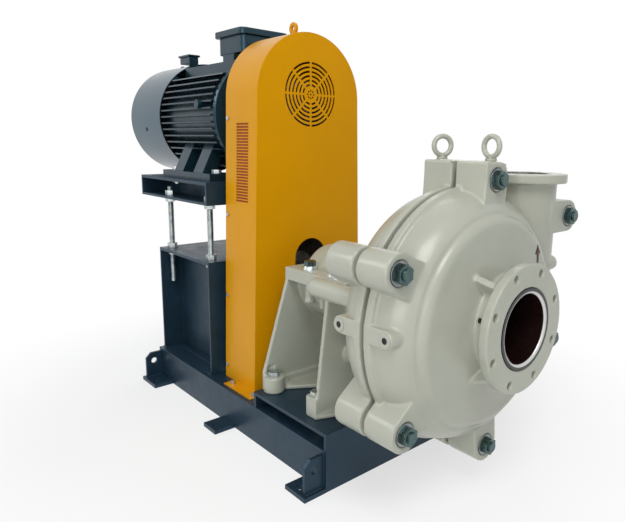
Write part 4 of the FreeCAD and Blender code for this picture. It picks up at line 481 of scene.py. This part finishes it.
def slot_of(node):
    """The record's material slot of a CAD node."""
    for row in frame["record"]["subparts"]:
        if row["node"] == node:
            return row["material_slot"]
    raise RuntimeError(f"no material slot holds {node}")


def paint(target, finish):
    """Gives a piece one finish all over."""
    target.data.materials.clear()
    target.data.materials.append(finish_of(finish))


# ---------------------------------------------------------------- modelling


def alone(target):
    """Selects one object and nothing else."""
    if bpy.context.mode != "OBJECT":
        bpy.ops.object.mode_set(mode="OBJECT")
    bpy.ops.object.select_all(action="DESELECT")
    target.select_set(True)
    bpy.context.view_layer.objects.active = target
    return target


def opened(target):
    """Opens one object for editing, with all of its mesh selected."""
    alone(target)
    bpy.ops.object.mode_set(mode="EDIT")
    bpy.ops.mesh.select_all(action="SELECT")
    return target


def picked(target, kind, wanted):
    """Opens one object for editing, with only the wanted parts of its mesh selected."""
    alone(target)
    mesh = target.data
    for name, parts in (("VERT", mesh.vertices), ("EDGE", mesh.edges), ("FACE", mesh.polygons)):
        for part in parts:
            part.select = name == kind and bool(wanted(part))
    bpy.ops.object.mode_set(mode="EDIT")
    bpy.ops.mesh.select_mode(type=kind)


def ends_of(target, edge):
    """Where the two ends of an edge lie."""
    return [target.data.vertices[index].co for index in edge.vertices]


def applied(piece, kind, **values):
    """Adds a modifier with those values and applies it."""
    alone(piece)
    modifier = piece.modifiers.new(kind.lower(), kind)
    for name, value in values.items():
        setattr(modifier, name, value)
    bpy.ops.object.modifier_apply(modifier=modifier.name)
    return piece


def merged_copy(node, name):
    """A welded copy of a CAD node's mesh, with its flat faces whole."""
    copy = bpy.data.objects.new(name, frame["nodes"][node].data.copy())
    bpy.context.scene.collection.objects.link(copy)
    opened(copy)
    bpy.ops.mesh.remove_doubles(threshold=0.00002)
    bpy.ops.mesh.customdata_custom_splitnormals_clear()
    bpy.ops.mesh.dissolve_limited(angle_limit=math.radians(0.4))
    bpy.ops.object.mode_set(mode="OBJECT")
    return copy


def smooth(target):
    """Shades a piece smooth, but for its sharp edges."""
    alone(target)
    bpy.ops.object.shade_smooth_by_angle(angle=math.radians(35.0))
    return target


def dressed(node, name, edge, finish):
    """A copy of a CAD node with its edges rounded, in place of it."""
    copy = merged_copy(node, name)
    if edge:
        applied(
            copy,
            "BEVEL",
            width=edge,
            segments=2,
            limit_method="ANGLE",
            angle_limit=math.radians(40.0),
            use_clamp_overlap=True,
        )
    smooth(copy)
    applied(copy, "WEIGHTED_NORMAL", keep_sharp=True, weight=80)
    paint(copy, finish)
    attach(copy, BODY_OF[node])
    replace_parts(copy, node)
    return copy


def seated(piece, node):
    """Ties a finished piece to the body of a CAD node."""
    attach(piece, BODY_OF[node])
    return piece


def solids_of(node):
    """The lowest and highest corner of each separate solid of a CAD node."""
    opened(merged_copy(node, "loose_solid"))
    bpy.ops.mesh.separate(type="LOOSE")
    bpy.ops.object.mode_set(mode="OBJECT")
    boxes = []
    for part in list(bpy.context.selected_objects):
        points = [vertex.co for vertex in part.data.vertices]
        low = Vector(min(point[axis] for point in points) for axis in range(3))
        high = Vector(max(point[axis] for point in points) for axis in range(3))
        boxes.append((low, high))
        bpy.data.objects.remove(part)
    return boxes


def lathed(profile, sides=32):
    """A closed turned piece on the Z axis, one ring for each radius and height."""
    (radius, height), *rest = profile
    bpy.ops.object.select_all(action="DESELECT")
    bpy.ops.mesh.primitive_circle_add(vertices=sides, radius=radius, fill_type="NGON")
    piece = opened(bpy.context.active_object)
    bpy.ops.transform.translate(value=(0, 0, height))
    for wide, high in rest:
        bpy.ops.mesh.extrude_region_move(
            TRANSFORM_OT_translate={"value": (0, 0, high - height)}
        )
        scale = wide / radius
        bpy.ops.transform.resize(value=(scale, scale, 1.0), center_override=(0, 0, high))
        radius, height = wide, high
    bpy.ops.mesh.select_all(action="SELECT")
    bpy.ops.mesh.normals_make_consistent(inside=False)
    bpy.ops.object.mode_set(mode="OBJECT")
    return piece


def threaded(radius, pitch, low, high, steps=20):
    """A bar on the Z axis with a real screw thread between two heights."""
    bpy.ops.object.select_all(action="DESELECT")
    bpy.ops.mesh.primitive_plane_add(size=1.0)
    bar = bpy.context.active_object
    bpy.ops.object.mode_set(mode="EDIT")
    bpy.ops.mesh.select_all(action="SELECT")
    bpy.ops.mesh.delete(type="ONLY_FACE")
    bpy.ops.mesh.select_all(action="DESELECT")
    bpy.ops.object.mode_set(mode="OBJECT")
    for vertex in bar.data.vertices:
        vertex.select = vertex.co.x < 0
    bpy.ops.object.mode_set(mode="EDIT")
    bpy.ops.mesh.delete(type="VERT")
    bpy.ops.mesh.select_all(action="SELECT")
    bpy.ops.mesh.subdivide(number_cuts=1)
    bpy.ops.object.mode_set(mode="OBJECT")
    crest = 0.54 * pitch
    for vertex in bar.data.vertices:
        along = vertex.co.y + 0.5
        out = 0.0 if abs(along - 0.5) < 0.1 else crest
        vertex.co = (radius - crest + out, 0.0, low - 2 * pitch + along * pitch)
    turns = math.ceil((high - low) / pitch) + 4
    applied(
        bar,
        "SCREW",
        screw_offset=pitch,
        iterations=turns,
        steps=steps,
        render_steps=steps,
        use_merge_vertices=True,
        merge_threshold=0.00001,
        use_normal_calculate=True,
    )
    bpy.ops.object.mode_set(mode="EDIT")
    for height, way in ((low, -1), (high, 1)):
        bpy.ops.mesh.select_all(action="SELECT")
        bpy.ops.mesh.bisect(
            plane_co=(0, 0, height), plane_no=(0, 0, way), use_fill=True, clear_outer=True
        )
    bpy.ops.mesh.select_all(action="SELECT")
    bpy.ops.mesh.normals_make_consistent(inside=False)
    bpy.ops.object.mode_set(mode="OBJECT")
    return bar


def twin(piece):
    """A copy of a piece, with a mesh of its own."""
    copy = bpy.data.objects.new(piece.name, piece.data.copy())
    bpy.context.scene.collection.objects.link(copy)
    return copy


def placed(piece, spot, turn=(0.0, 0.0, 0.0)):
    """Turns and moves a piece, and leaves its place in its mesh."""
    alone(piece)
    piece.rotation_euler = turn
    piece.location = spot
    bpy.ops.object.transform_apply(location=True, rotation=True, scale=True)
    return piece


def repeated(pattern, spots):
    """A copy of the pattern at each place and turn, in place of the pattern."""
    copies = [placed(twin(pattern), spot, turn) for spot, turn in spots]
    bpy.data.objects.remove(pattern)
    return copies


def joined(parts, name, finish, node):
    """Several finished parts as one piece, which rides with a CAD node."""
    alone(parts[0])
    for part in parts:
        part.select_set(True)
    if len(parts) > 1:
        bpy.ops.object.join()
    piece = parts[0]
    piece.name = name
    smooth(piece)
    paint(piece, finish)
    return seated(piece, node)


def plate(low, high, edge=0.0015):
    """A flat plate between two corners, with its edges eased."""
    bpy.ops.object.select_all(action="DESELECT")
    bpy.ops.mesh.primitive_cube_add(size=1.0)
    piece = bpy.context.active_object
    low, high = Vector(low), Vector(high)
    piece.scale = high - low
    placed(piece, (low + high) / 2)
    return applied(piece, "BEVEL", width=edge, segments=2)


def weld_bead(start, end):
    """A bead of overlapping ripples laid along a seam."""
    start, end = Vector(start), Vector(end)
    run = end - start
    bpy.ops.object.select_all(action="DESELECT")
    bpy.ops.mesh.primitive_uv_sphere_add(segments=8, ring_count=6, radius=BEAD_RADIUS)
    bead = bpy.context.active_object
    bead.scale = (1.0, 1.0, 0.75)
    placed(bead, (0, 0, 0))
    step = BEAD_RADIUS * 0.8
    applied(
        bead,
        "ARRAY",
        count=max(2, round(run.length / step)),
        use_relative_offset=False,
        use_constant_offset=True,
        constant_offset_displace=(0, 0, step),
    )
    return placed(bead, start, run.to_track_quat("Z", "Y").to_euler())


def rounded_top(target, height, holes, width):
    """Rounds the edges along the top of the casting, but not its bored holes."""
    near = 0.022

    def wanted(edge):
        ends = ends_of(target, edge)
        on_top = all(end.z > height - 0.0005 for end in ends)
        bored = any((end.xy - hole.xy).length < near for end in ends for hole in holes)
        return on_top and not bored

    picked(target, "EDGE", wanted)
    bpy.ops.mesh.bevel(offset=width, segments=4, affect="EDGES")
    bpy.ops.object.mode_set(mode="OBJECT")


def foundry_cast(node, name, top_holes=(), parting=None):
    """A CAD casting with the rounded corners and soft edges of a sand mould."""
    copy = merged_copy(node, name)
    if top_holes:
        rounded_top(copy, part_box(node)[1][2], top_holes, 0.012)
    if parting:
        face, back_off = parting
        for vertex in copy.data.vertices:
            if abs(vertex.co.x - face) < 0.0002:
                vertex.co.x += back_off
    applied(copy, "REMESH", mode="VOXEL", voxel_size=CAST_CELL)
    applied(copy, "SMOOTH", factor=0.5, iterations=6)
    applied(copy, "DECIMATE", ratio=CAST_KEPT)
    alone(copy)
    bpy.ops.object.shade_smooth()
    paint(copy, "pump_enamel")
    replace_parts(seated(copy, node), node)
    return copy


# ---------------------------------------------------------------- operators


class SLURRYPUMP_OT_finishes(bpy.types.Operator):
    """Give every solid the finish of its material slot"""

    bl_idname = "slurry_pump.finishes"
    bl_label = "Finish the Solids"
    bl_options = {"REGISTER", "UNDO"}

    def execute(self, context):
        for node, target in frame["nodes"].items():
            paint(target, SLOT_FINISH[slot_of(node)])
        return {"FINISHED"}


class SLURRYPUMP_OT_castings(bpy.types.Operator):
    """Round the edges of the pump's castings"""

    bl_idname = "slurry_pump.castings"
    bl_label = "Pump Castings"
    bl_options = {"REGISTER", "UNDO"}

    def execute(self, context):
        eyes = [(low + high) / 2 for low, high in solids_of("casing_eyebolts")]
        back_off = 0.0025
        cover_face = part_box("cover_plate")[0][0]
        frame_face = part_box("frame_plate")[1][0]
        cover = foundry_cast("cover_plate", "suction_cover", eyes, (cover_face, back_off))
        foundry_cast("frame_plate", "back_cover", eyes, (frame_face, -back_off))
        foundry_cast("bearing_frame", "bearing_pedestal")
        for node, name in (
            ("bearing_housing", "bearing_barrel"),
            ("bearing_cover_drive", "drive_end_cover"),
            ("bearing_cover_pump", "pump_end_cover"),
        ):
            dressed(node, name, 0.002, "pump_enamel")
        self.ear_bosses()
        self.neck_plug()
        self.rotation_arrow(cover)
        self.grease_nipple()
        return {"FINISHED"}

    def ear_bosses(self):
        """Raised rings round the holes of the four alignment ears."""
        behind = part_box("frame_plate")[1][0] - EAR_REACH
        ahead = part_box("cover_plate")[0][0] + EAR_REACH
        spots = [((x, y, z), turn) for x in (behind, ahead) for y, z, turn in EAR_HOLES]
        ring = lathed(
            (
                (0.0195, 0),
                (0.0195, 0.0022),
                (0.017, 0.0034),
                (0.0115, 0.0034),
                (0.0092, 0.0020),
            )
        )
        joined(repeated(ring, spots), "ear_bosses", "pump_enamel", "cover_plate")
        # Near-black discs in the ear holes, painted shade of the holes.
        hole = lathed(((0.0085, 0), (0.0085, 0.0024)))
        joined(repeated(hole, spots), "ear_hole_caps", "soot", "cover_plate")

    def neck_plug(self):
        """A pipe plug in a raised boss in the side of the suction neck, near-black as painted
        shade of the hole it sits in.
        """
        rise = math.radians(16.0)
        turn = (math.pi / 2 - rise, 0.0, 0.0)
        low, high = (Vector(corner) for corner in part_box("pump_shaft"))
        spot = Vector(
            (
                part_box("cover_plate")[1][0] - 0.052,
                -PLUG_REACH * math.cos(rise),
                (low.z + high.z) / 2 + PLUG_REACH * math.sin(rise),
            )
        )
        boss = lathed(
            (
                (0.0125, 0),
                (0.0125, 0.0028),
                (0.0105, 0.0042),
                (0.0082, 0.0042),
                (0.0078, 0.003),
            )
        )
        joined([placed(boss, spot, turn)], "neck_plug_boss", "pump_enamel", "cover_plate")
        plug = lathed(((0.0072, 0), (0.0072, 0.0034), (0.005, 0.0036)), 16)
        joined([placed(plug, spot, turn)], "neck_plug", "soot", "cover_plate")

    def rotation_arrow(self, cover):
        """A plain arrow that shows the way of rotation, laid on the cover."""
        bpy.ops.object.select_all(action="DESELECT")
        bpy.ops.mesh.primitive_circle_add(vertices=3, radius=0.0185, fill_type="NGON")
        head = placed(bpy.context.active_object, (0, 0.012, 0))
        bpy.ops.object.select_all(action="DESELECT")
        bpy.ops.mesh.primitive_plane_add(size=0.0105)
        shaft = bpy.context.active_object
        shaft.scale = (1.0, 2.6, 1.0)
        placed(shaft, (0, -0.0105, 0))
        arrow = joined([head, shaft], "rotation_arrow", "arrow_paint", "cover_plate")
        placed(arrow, (0, 0, 0), (math.pi / 2, 0, 0))
        ahead_of_cover = (1.0, 0.201, 0.725)
        placed(arrow, ahead_of_cover, (0, 0, math.pi / 2))
        opened(arrow)
        bpy.ops.mesh.quads_convert_to_tris()
        bpy.ops.mesh.subdivide(number_cuts=4)
        bpy.ops.object.mode_set(mode="OBJECT")
        applied(
            arrow,
            "SHRINKWRAP",
            target=cover,
            wrap_method="PROJECT",
            use_project_x=True,
            use_negative_direction=True,
            use_positive_direction=False,
            offset=0.0004,
        )
        applied(arrow, "SOLIDIFY", thickness=0.0008, offset=1.0)

    def grease_nipple(self):
        """A grease nipple on top of the bearing housing's drive-end cover."""
        body = lathed(((0.0065, -0.003), (0.0065, 0.004)), 6)
        head = lathed(
            (
                (0.0035, 0.004),
                (0.0035, 0.008),
                (0.0046, 0.0098),
                (0.0046, 0.012),
                (0.0028, 0.0136),
            ),
            16,
        )
        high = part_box("bearing_cover_drive")[1]
        spot = (high[0] - 0.032, 0, high[2])
        parts = [placed(body, spot), placed(head, spot)]
        joined(parts, "grease_nipple", "zinc_plate", "bearing_cover_drive")


class SLURRYPUMP_OT_base(bpy.types.Operator):
    """Round the edges of the welded base and the motor stand"""

    bl_idname = "slurry_pump.base"
    bl_label = "Welded Base"
    bl_options = {"REGISTER", "UNDO"}

    def execute(self, context):
        for node, name, edge in (
            ("base_rail_right", "right_channel", 0.002),
            ("base_rail_left", "left_channel", 0.002),
            ("base_cross_members", "cross_channels", 0.002),
            ("pump_deck", "deck_plate", 0.0015),
            ("deck_end_plate", "deck_closing_plate", 0.0015),
            ("foundation_feet", "hold_down_feet", 0.002),
            ("lifting_lugs", "sling_lugs", 0.0015),
            ("motor_pedestal", "motor_stand", 0.0015),
            ("motor_platform", "motor_table", 0.0015),
        ):
            dressed(node, name, edge, "base_enamel")
        self.recess_floors()
        self.seams()
        return {"FINISHED"}

    def recess_floors(self):
        """Plates that close the stand's side recesses and its sills from below."""
        back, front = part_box("motor_pedestal")
        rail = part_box("base_rail_left")
        inner, top = rail[0][1], rail[1][2]
        wall, sill = 0.0122, 0.011
        floors = []
        for side in (-1, 1):
            near, far = sorted((side * STAND_WEB, side * inner))
            floors.append(
                plate((back[0] + wall, near, top - 0.006), (front[0] - wall, far, top + 0.002))
            )
        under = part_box("base_cross_members")[1][2]
        for x in (back[0] + 0.0005, front[0] - 0.0005 - sill):
            floors.append(plate((x, -inner, under), (x + sill, inner, top + 0.0005)))
        joined(floors, "recess_floors", "base_enamel", "motor_pedestal")

    def seams(self):
        """Weld beads round the stand's foot, the lifting lugs and the deck."""
        low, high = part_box("motor_pedestal")
        roof = high[2] - 0.013
        beads = []
        for side in (-1, 1):
            edge = side * (high[1] + 0.001)
            web = side * (STAND_WEB + 0.0013)
            for start, end, y, z in (
                (low[0] + 0.004, low[0] + 0.03, edge, low[2]),
                (high[0] - 0.03, high[0] - 0.004, edge, low[2]),
                (low[0] + 0.014, high[0] - 0.014, web, roof),
            ):
                beads.append(weld_bead((start, y, z), (end, y, z)))
        joined(beads, "stand_welds", "base_enamel", "motor_pedestal")
        beads = []
        for low, high in solids_of("lifting_lugs"):
            for x in (low[0], high[0]):
                beads.append(weld_bead((x, low[1] + 0.004, low[2]), (x, high[1] - 0.004, low[2])))
        joined(beads, "lug_welds", "base_enamel", "lifting_lugs")
        low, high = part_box("deck_end_plate")
        beads = []
        for side in (-1, 1):
            y = side * (high[1] - 0.002)
            beads.append(weld_bead((low[0], y, 0.012), (low[0], y, 0.125)))
        joined(beads, "end_plate_welds", "base_enamel", "deck_end_plate")


class SLURRYPUMP_OT_guard(bpy.types.Operator):
    """Round the folded edges of the belt guard"""

    bl_idname = "slurry_pump.guard"
    bl_label = "Belt Guard"
    bl_options = {"REGISTER", "UNDO"}

    def execute(self, context):
        for node, name in (
            ("guard_wrapper", "guard_band"),
            ("guard_front_panel", "guard_face"),
            ("guard_back_panel", "guard_back"),
        ):
            dressed(node, name, 0.001, "guard_enamel")
        self.eye()
        self.vent_screens()
        return {"FINISHED"}

    def eye(self):
        """A flat lifting eye welded to the crown of the guard."""
        low, high = (Vector(corner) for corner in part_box("guard_lifting_eye"))
        middle = (low + high) / 2
        radius = (high.x - low.x) / 2
        thick, eased, hole = 0.010, 0.001, 0.0105
        eye = lathed(
            (
                (radius - eased, 0),
                (radius, eased),
                (radius, thick - eased),
                (radius - eased, thick),
            ),
            48,
        )
        picked(eye, "FACE", lambda face: abs(face.normal.z) > 0.9)
        bpy.ops.mesh.inset(thickness=radius - hole)
        bpy.ops.mesh.bridge_edge_loops()
        bpy.ops.object.mode_set(mode="OBJECT")
        for vertex in eye.data.vertices:
            if vertex.co.y < -0.015:
                vertex.co.y -= 0.012
        placed(eye, (middle.x, middle.y + thick / 2, high.z - radius), TO_RIGHT)
        joined([eye], "guard_eye", "guard_enamel", "guard_lifting_eye")
        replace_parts(eye, "guard_lifting_eye")

    def vent_screens(self):
        """Sheets behind the slits in both sides of the guard, dark red as painted shade of the
        guard's orange inside.
        """
        foot, crown, thick = 0.82, 1.11, 0.001
        foot_lean, crown_lean = 0.2352, 0.2271
        shade_sheets = []
        for side in (-1, 1):
            shade_sheet = plate((-0.062, -thick, foot), (0.034, thick, crown), 0.0004)
            for vertex in shade_sheet.data.vertices:
                upper = vertex.co.z >= 0.96
                vertex.co.y += side * (crown_lean if upper else foot_lean)
            shade_sheets.append(shade_sheet)
        joined(shade_sheets, "vent_screens", "screen_primer", "guard_wrapper")


class SLURRYPUMP_OT_motor(bpy.types.Operator):
    """Round the edges of the motor castings and its cowl"""

    bl_idname = "slurry_pump.motor"
    bl_label = "Motor"
    bl_options = {"REGISTER", "UNDO"}

    def execute(self, context):
        for node, name, edge, finish in (
            ("motor_frame", "finned_body", 0.0015, "motor_enamel"),
            ("motor_drive_shield", "drive_shield", 0.0015, "motor_enamel"),
            ("motor_fan_shield", "fan_shield", 0.0015, "motor_enamel"),
            ("motor_fan_cowl", "fan_cover", 0.001, "cowl_enamel"),
            ("terminal_box", "wiring_box", 0.003, "motor_enamel"),
            ("terminal_box_lid", "wiring_box_lid", 0.003, "motor_enamel"),
            ("motor_sensor_box", "sensor_box", 0.003, "motor_enamel"),
        ):
            dressed(node, name, edge, finish)
        self.cowl_screws()
        return {"FINISHED"}

    def cowl_screws(self):
        """Four round-headed screws that hold the cowl."""
        low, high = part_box("motor_fan_cowl")
        radius = (high[2] - low[2]) / 2
        axis = (high[2] + low[2]) / 2
        row = low[0] + 0.17
        head = lathed(((0.0085, -0.001), (0.0085, 0.0015), (0.007, 0.0036), (0.004, 0.0046)), 20)
        spots = []
        for angle in (-12, 78, 168, 258):
            rise = math.radians(angle)
            spot = (row, -radius * math.cos(rise), axis + radius * math.sin(rise))
            spots.append((spot, (math.pi / 2 - rise, 0, 0)))
        screws = repeated(head, spots)
        joined(screws, "cowl_screws", "motor_enamel", "motor_fan_cowl")


class SLURRYPUMP_OT_fasteners(bpy.types.Operator):
    """Smooth the plated fasteners, rods and eyebolts"""

    bl_idname = "slurry_pump.fasteners"
    bl_label = "Fasteners"
    bl_options = {"REGISTER", "UNDO"}

    def execute(self, context):
        for node in ("casing_bolts", "clamp_bolts"):
            dressed(node, f"{node}_plated", 0.0008, "blue_zinc")
        for node in (
            "frame_foot_bolts",
            "frame_plate_bolts",
            "clamp_washers",
            "motor_foot_bolts",
            "pedestal_nuts",
            "platform_nuts",
            "guard_screws",
            "gland_studs",
            "gland_nuts",
        ):
            dressed(node, f"{node}_plated", 0.0005, "zinc_plate")
        self.casing_ends()
        self.jacking_screws()
        self.eyebolts()
        return {"FINISHED"}

    def casing_ends(self):
        """Threaded ends and bright washers of the casing bolts."""
        solids = solids_of("casing_bolts")
        shortest_bolt = 0.15
        bolts = [box for box in solids if (box[1] - box[0]).x > shortest_bolt]
        nuts = [box for box in solids if (box[1] - box[0]).x < shortest_bolt]
        ends, seats = [], []
        for low, high in nuts:
            middle = (low + high) / 2
            bolt = min(bolts, key=lambda box: ((box[0] + box[1]) / 2 - middle).yz.length)
            if middle.x > (bolt[0].x + bolt[1].x) / 2:
                seat, tip, turn = low.x, bolt[1].x, TO_FRONT
            else:
                seat, tip, turn = high.x, bolt[0].x, TO_BACK
            spot = (seat, middle.y, middle.z)
            start, stop = high.x - low.x - 0.002, abs(tip - seat) - 0.0015
            ends.append(placed(threaded(0.0158, 0.0035, start, stop, 24), spot, turn))
            seats.append((spot, turn))
        joined(ends, "casing_bolt_threads", "blue_zinc", "casing_bolts")
        washer = lathed(((0.0315, 0), (0.0315, 0.0028), (0.0305, 0.0036)), 40)
        joined(repeated(washer, seats), "casing_washers", "dull_zinc", "casing_bolts")

    def jacking_screws(self):
        """The four jacking rods, with their thread cut from end to end."""
        solids = solids_of("jacking_rods")
        low, high = solids[0]
        rod = threaded((high.x - low.x) / 2, 0.003, low.z + 0.0005, high.z - 0.0005)
        middles = [(low + high) / 2 for low, high in solids]
        spots = [((middle.x, middle.y, 0), (0.0, 0.0, 0.0)) for middle in middles]
        screws = joined(repeated(rod, spots), "jacking_screws", "zinc_plate", "jacking_rods")
        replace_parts(screws, "jacking_rods")

    def eyebolts(self):
        """The casing's eyebolts, the front one screwed home a little further round."""
        rings = dressed("casing_eyebolts", "casing_eyes", 0.0, "pump_enamel")
        front = max(solids_of("casing_eyebolts"), key=lambda box: box[1].x)
        centre = (front[0] + front[1]) / 2
        picked(rings, "VERT", lambda vertex: vertex.co.x > front[0].x - 0.001)
        bpy.ops.transform.rotate(
            value=math.radians(47.0), orient_axis="Z", center_override=tuple(centre)
        )
        bpy.ops.object.mode_set(mode="OBJECT")


class SLURRYPUMP_OT_wet_end(bpy.types.Operator):
    """Smooth the liners, the rotor and the drive inside the covers"""

    bl_idname = "slurry_pump.wet_end"
    bl_label = "Liners and Rotor"
    bl_options = {"REGISTER", "UNDO"}

    def execute(self, context):
        for node in (
            "volute_liner",
            "frame_plate_liner",
            "impeller",
            "stuffing_box",
            "gland",
            "pump_shaft",
            "shaft_sleeve",
            "pump_pulley",
            "motor_pulley",
            "motor_fan",
            "labyrinth_rings",
        ):
            dressed(node, f"{node}_finished", 0.0006, SLOT_FINISH[slot_of(node)])
        self.throat()
        self.belts()
        return {"FINISHED"}

    def belts(self):
        """The V-belts, as one smoothed piece in place of the solids."""
        belts = smooth(merged_copy("v_belts", "drive_belts"))
        paint(belts, "belt_rubber")
        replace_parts(belts, "v_belts")
        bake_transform(belts)

    def throat(self):
        """The suction liner, with a bright chamfer turned round its mouth."""
        bush = dressed("throatbush", "suction_liner", 0.0, "mouth_iron")
        low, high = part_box("throatbush")
        centre = Vector((0.0, (low[2] + high[2]) / 2))

        def on_rim(point):
            ahead = point.x > high[0] - 0.0005
            return ahead and abs((point.yz - centre).length - MOUTH_RADIUS) < 0.0008

        picked(bush, "EDGE", lambda edge: all(on_rim(end) for end in ends_of(bush, edge)))
        bpy.ops.mesh.bevel(offset=0.0065, segments=2, affect="EDGES")
        bpy.ops.object.mode_set(mode="OBJECT")
        smooth(bush)


class SLURRYPUMP_OT_stage(bpy.types.Operator):
    """Lay the floor, hang the lights and place the camera"""

    bl_idname = "slurry_pump.stage"
    bl_label = "Floor, Light and Camera"
    bl_options = {"REGISTER", "UNDO"}

    def execute(self, context):
        self.floor()
        self.sky()
        for name, place, size, power in (
            ("key_light", (2.6, -1.6, 3.9), 1.8, 84.0),
            ("front_light", (1.9, -2.9, 1.4), 1.6, 34.0),
            ("side_light", (-2.2, -3.2, 3.0), 1.4, 30.0),
            ("rim_light", (-1.5, 3.2, 3.8), 2.6, 40.0),
        ):
            self.lamp(name, place, size, power)
        self.camera(context)
        return {"FINISHED"}

    def sharp_rays(self, nodes, links):
        """One where the camera, a reflection or a clear surface looks, else nought."""
        path = nodes.new("ShaderNodeLightPath")
        total = path.outputs["Is Camera Ray"]
        for name in ("Is Glossy Ray", "Is Transmission Ray"):
            add = nodes.new("ShaderNodeMath")
            add.operation = "MAXIMUM"
            links.new(total, add.inputs[0])
            links.new(path.outputs[name], add.inputs[1])
            total = add.outputs["Value"]
        return total

    def floor(self):
        """A white floor that keeps the object's shadow and fades into the white room."""
        bpy.ops.mesh.primitive_grid_add(
            x_subdivisions=8, y_subdivisions=8, size=60.0, location=(0, 0, 0)
        )
        floor = bpy.context.active_object
        floor.name = "studio_floor"
        made = Finish("studio_floor")
        made.shades(
            made.noise(1.3, 2.0), (0.3, (0.86, 0.86, 0.86)), (0.7, (0.89, 0.89, 0.89))
        )
        made.set(Roughness=0.9, Specular_IOR_Level=0.0)
        fade = made.ranged(made.reach(made.place), 0.62, 1.0, 0.7, 1.7, "SMOOTHSTEP")
        share = made.nodes.new("ShaderNodeMath")
        share.operation = "MULTIPLY"
        made.links.new(fade, share.inputs[0])
        made.links.new(self.sharp_rays(made.nodes, made.links), share.inputs[1])
        glow = made.nodes.new("ShaderNodeEmission")
        mix = made.nodes.new("ShaderNodeMixShader")
        made.links.new(share.outputs["Value"], mix.inputs["Fac"])
        made.links.new(made.shader.outputs["BSDF"], mix.inputs[1])
        made.links.new(glow.outputs["Emission"], mix.inputs[2])
        made.links.new(mix.outputs["Shader"], made.nodes["Material Output"].inputs["Surface"])
        floor.data.materials.append(made.material)

    def sky(self):
        """A soft, even room, which the camera and reflections see as white."""
        world = bpy.data.worlds.new("studio_world")
        bpy.context.scene.world = world
        world.use_nodes = True
        nodes = world.node_tree.nodes
        links = world.node_tree.links
        nodes.clear()
        output = nodes.new("ShaderNodeOutputWorld")
        room = nodes.new("ShaderNodeBackground")
        room.inputs["Color"].default_value = (0.96, 0.98, 1.0, 1.0)
        room.inputs["Strength"].default_value = 0.42
        white = nodes.new("ShaderNodeBackground")
        white.inputs["Color"].default_value = (1.0, 1.0, 1.0, 1.0)
        mix = nodes.new("ShaderNodeMixShader")
        links.new(self.sharp_rays(nodes, links), mix.inputs["Fac"])
        links.new(room.outputs["Background"], mix.inputs[1])
        links.new(white.outputs["Background"], mix.inputs[2])
        links.new(mix.outputs["Shader"], output.inputs["Surface"])

    def lamp(self, name, place, size, power):
        """A square lamp, turned to the middle of the set."""
        data = bpy.data.lights.new(name, "AREA")
        data.shape = "SQUARE"
        data.size = size
        data.energy = power
        lamp = bpy.data.objects.new(name, data)
        bpy.context.scene.collection.objects.link(lamp)
        lamp.location = place
        aim = Vector((0.1, 0.0, 0.6)) - Vector(place)
        lamp.rotation_euler = aim.to_track_quat("-Z", "Y").to_euler()

    def camera(self, context):
        """The camera, where the stage settings put it."""
        stage = context.scene.slurry_pump_stage
        data = bpy.data.cameras.new("studio_camera")
        data.sensor_width = 36.0
        data.lens = stage.lens
        data.shift_x, data.shift_y = stage.shift
        data.clip_end = 60.0
        camera = bpy.data.objects.new("studio_camera", data)
        context.scene.collection.objects.link(camera)
        turn = (
            Matrix.Rotation(stage.heading, 4, "Z")
            @ Matrix.Rotation(math.pi / 2 - stage.dip, 4, "X")
            @ Matrix.Rotation(stage.tilt, 4, "Z")
        )
        camera.matrix_world = Matrix.Translation(Vector(stage.eye)) @ turn
        context.scene.camera = camera
        context.scene.view_settings.view_transform = "Standard"


class SLURRYPUMP_PT_panel(bpy.types.Panel):
    """The pump's pieces and stage, in the sidebar"""

    bl_idname = "SLURRYPUMP_PT_panel"
    bl_label = "Slurry Pump"
    bl_space_type = "VIEW_3D"
    bl_region_type = "UI"
    bl_category = "Slurry Pump"

    def draw(self, context):
        layout = self.layout
        for settings in (context.scene.slurry_pump_paint, context.scene.slurry_pump_stage):
            box = layout.box()
            for name in settings.__annotations__:
                box.prop(settings, name)
        for operator in OPERATORS:
            layout.operator(operator.bl_idname)


OPERATORS = (
    SLURRYPUMP_OT_finishes,
    SLURRYPUMP_OT_castings,
    SLURRYPUMP_OT_base,
    SLURRYPUMP_OT_guard,
    SLURRYPUMP_OT_motor,
    SLURRYPUMP_OT_fasteners,
    SLURRYPUMP_OT_wet_end,
    SLURRYPUMP_OT_stage,
)
CLASSES = (PaintSettings, StageSettings, *OPERATORS, SLURRYPUMP_PT_panel)


def register():
    for part in CLASSES:
        bpy.utils.register_class(part)
    bpy.types.Scene.slurry_pump_paint = bpy.props.PointerProperty(type=PaintSettings)
    bpy.types.Scene.slurry_pump_stage = bpy.props.PointerProperty(type=StageSettings)


def unregister():
    del bpy.types.Scene.slurry_pump_stage
    del bpy.types.Scene.slurry_pump_paint
    for part in reversed(CLASSES):
        bpy.utils.unregister_class(part)


def main():
    register()
    bpy.ops.slurry_pump.finishes()
    bpy.ops.slurry_pump.castings()
    bpy.ops.slurry_pump.base()
    bpy.ops.slurry_pump.guard()
    bpy.ops.slurry_pump.motor()
    bpy.ops.slurry_pump.fasteners()
    bpy.ops.slurry_pump.wet_end()
    bpy.ops.slurry_pump.stage()


if __name__ == "__main__":
    main()
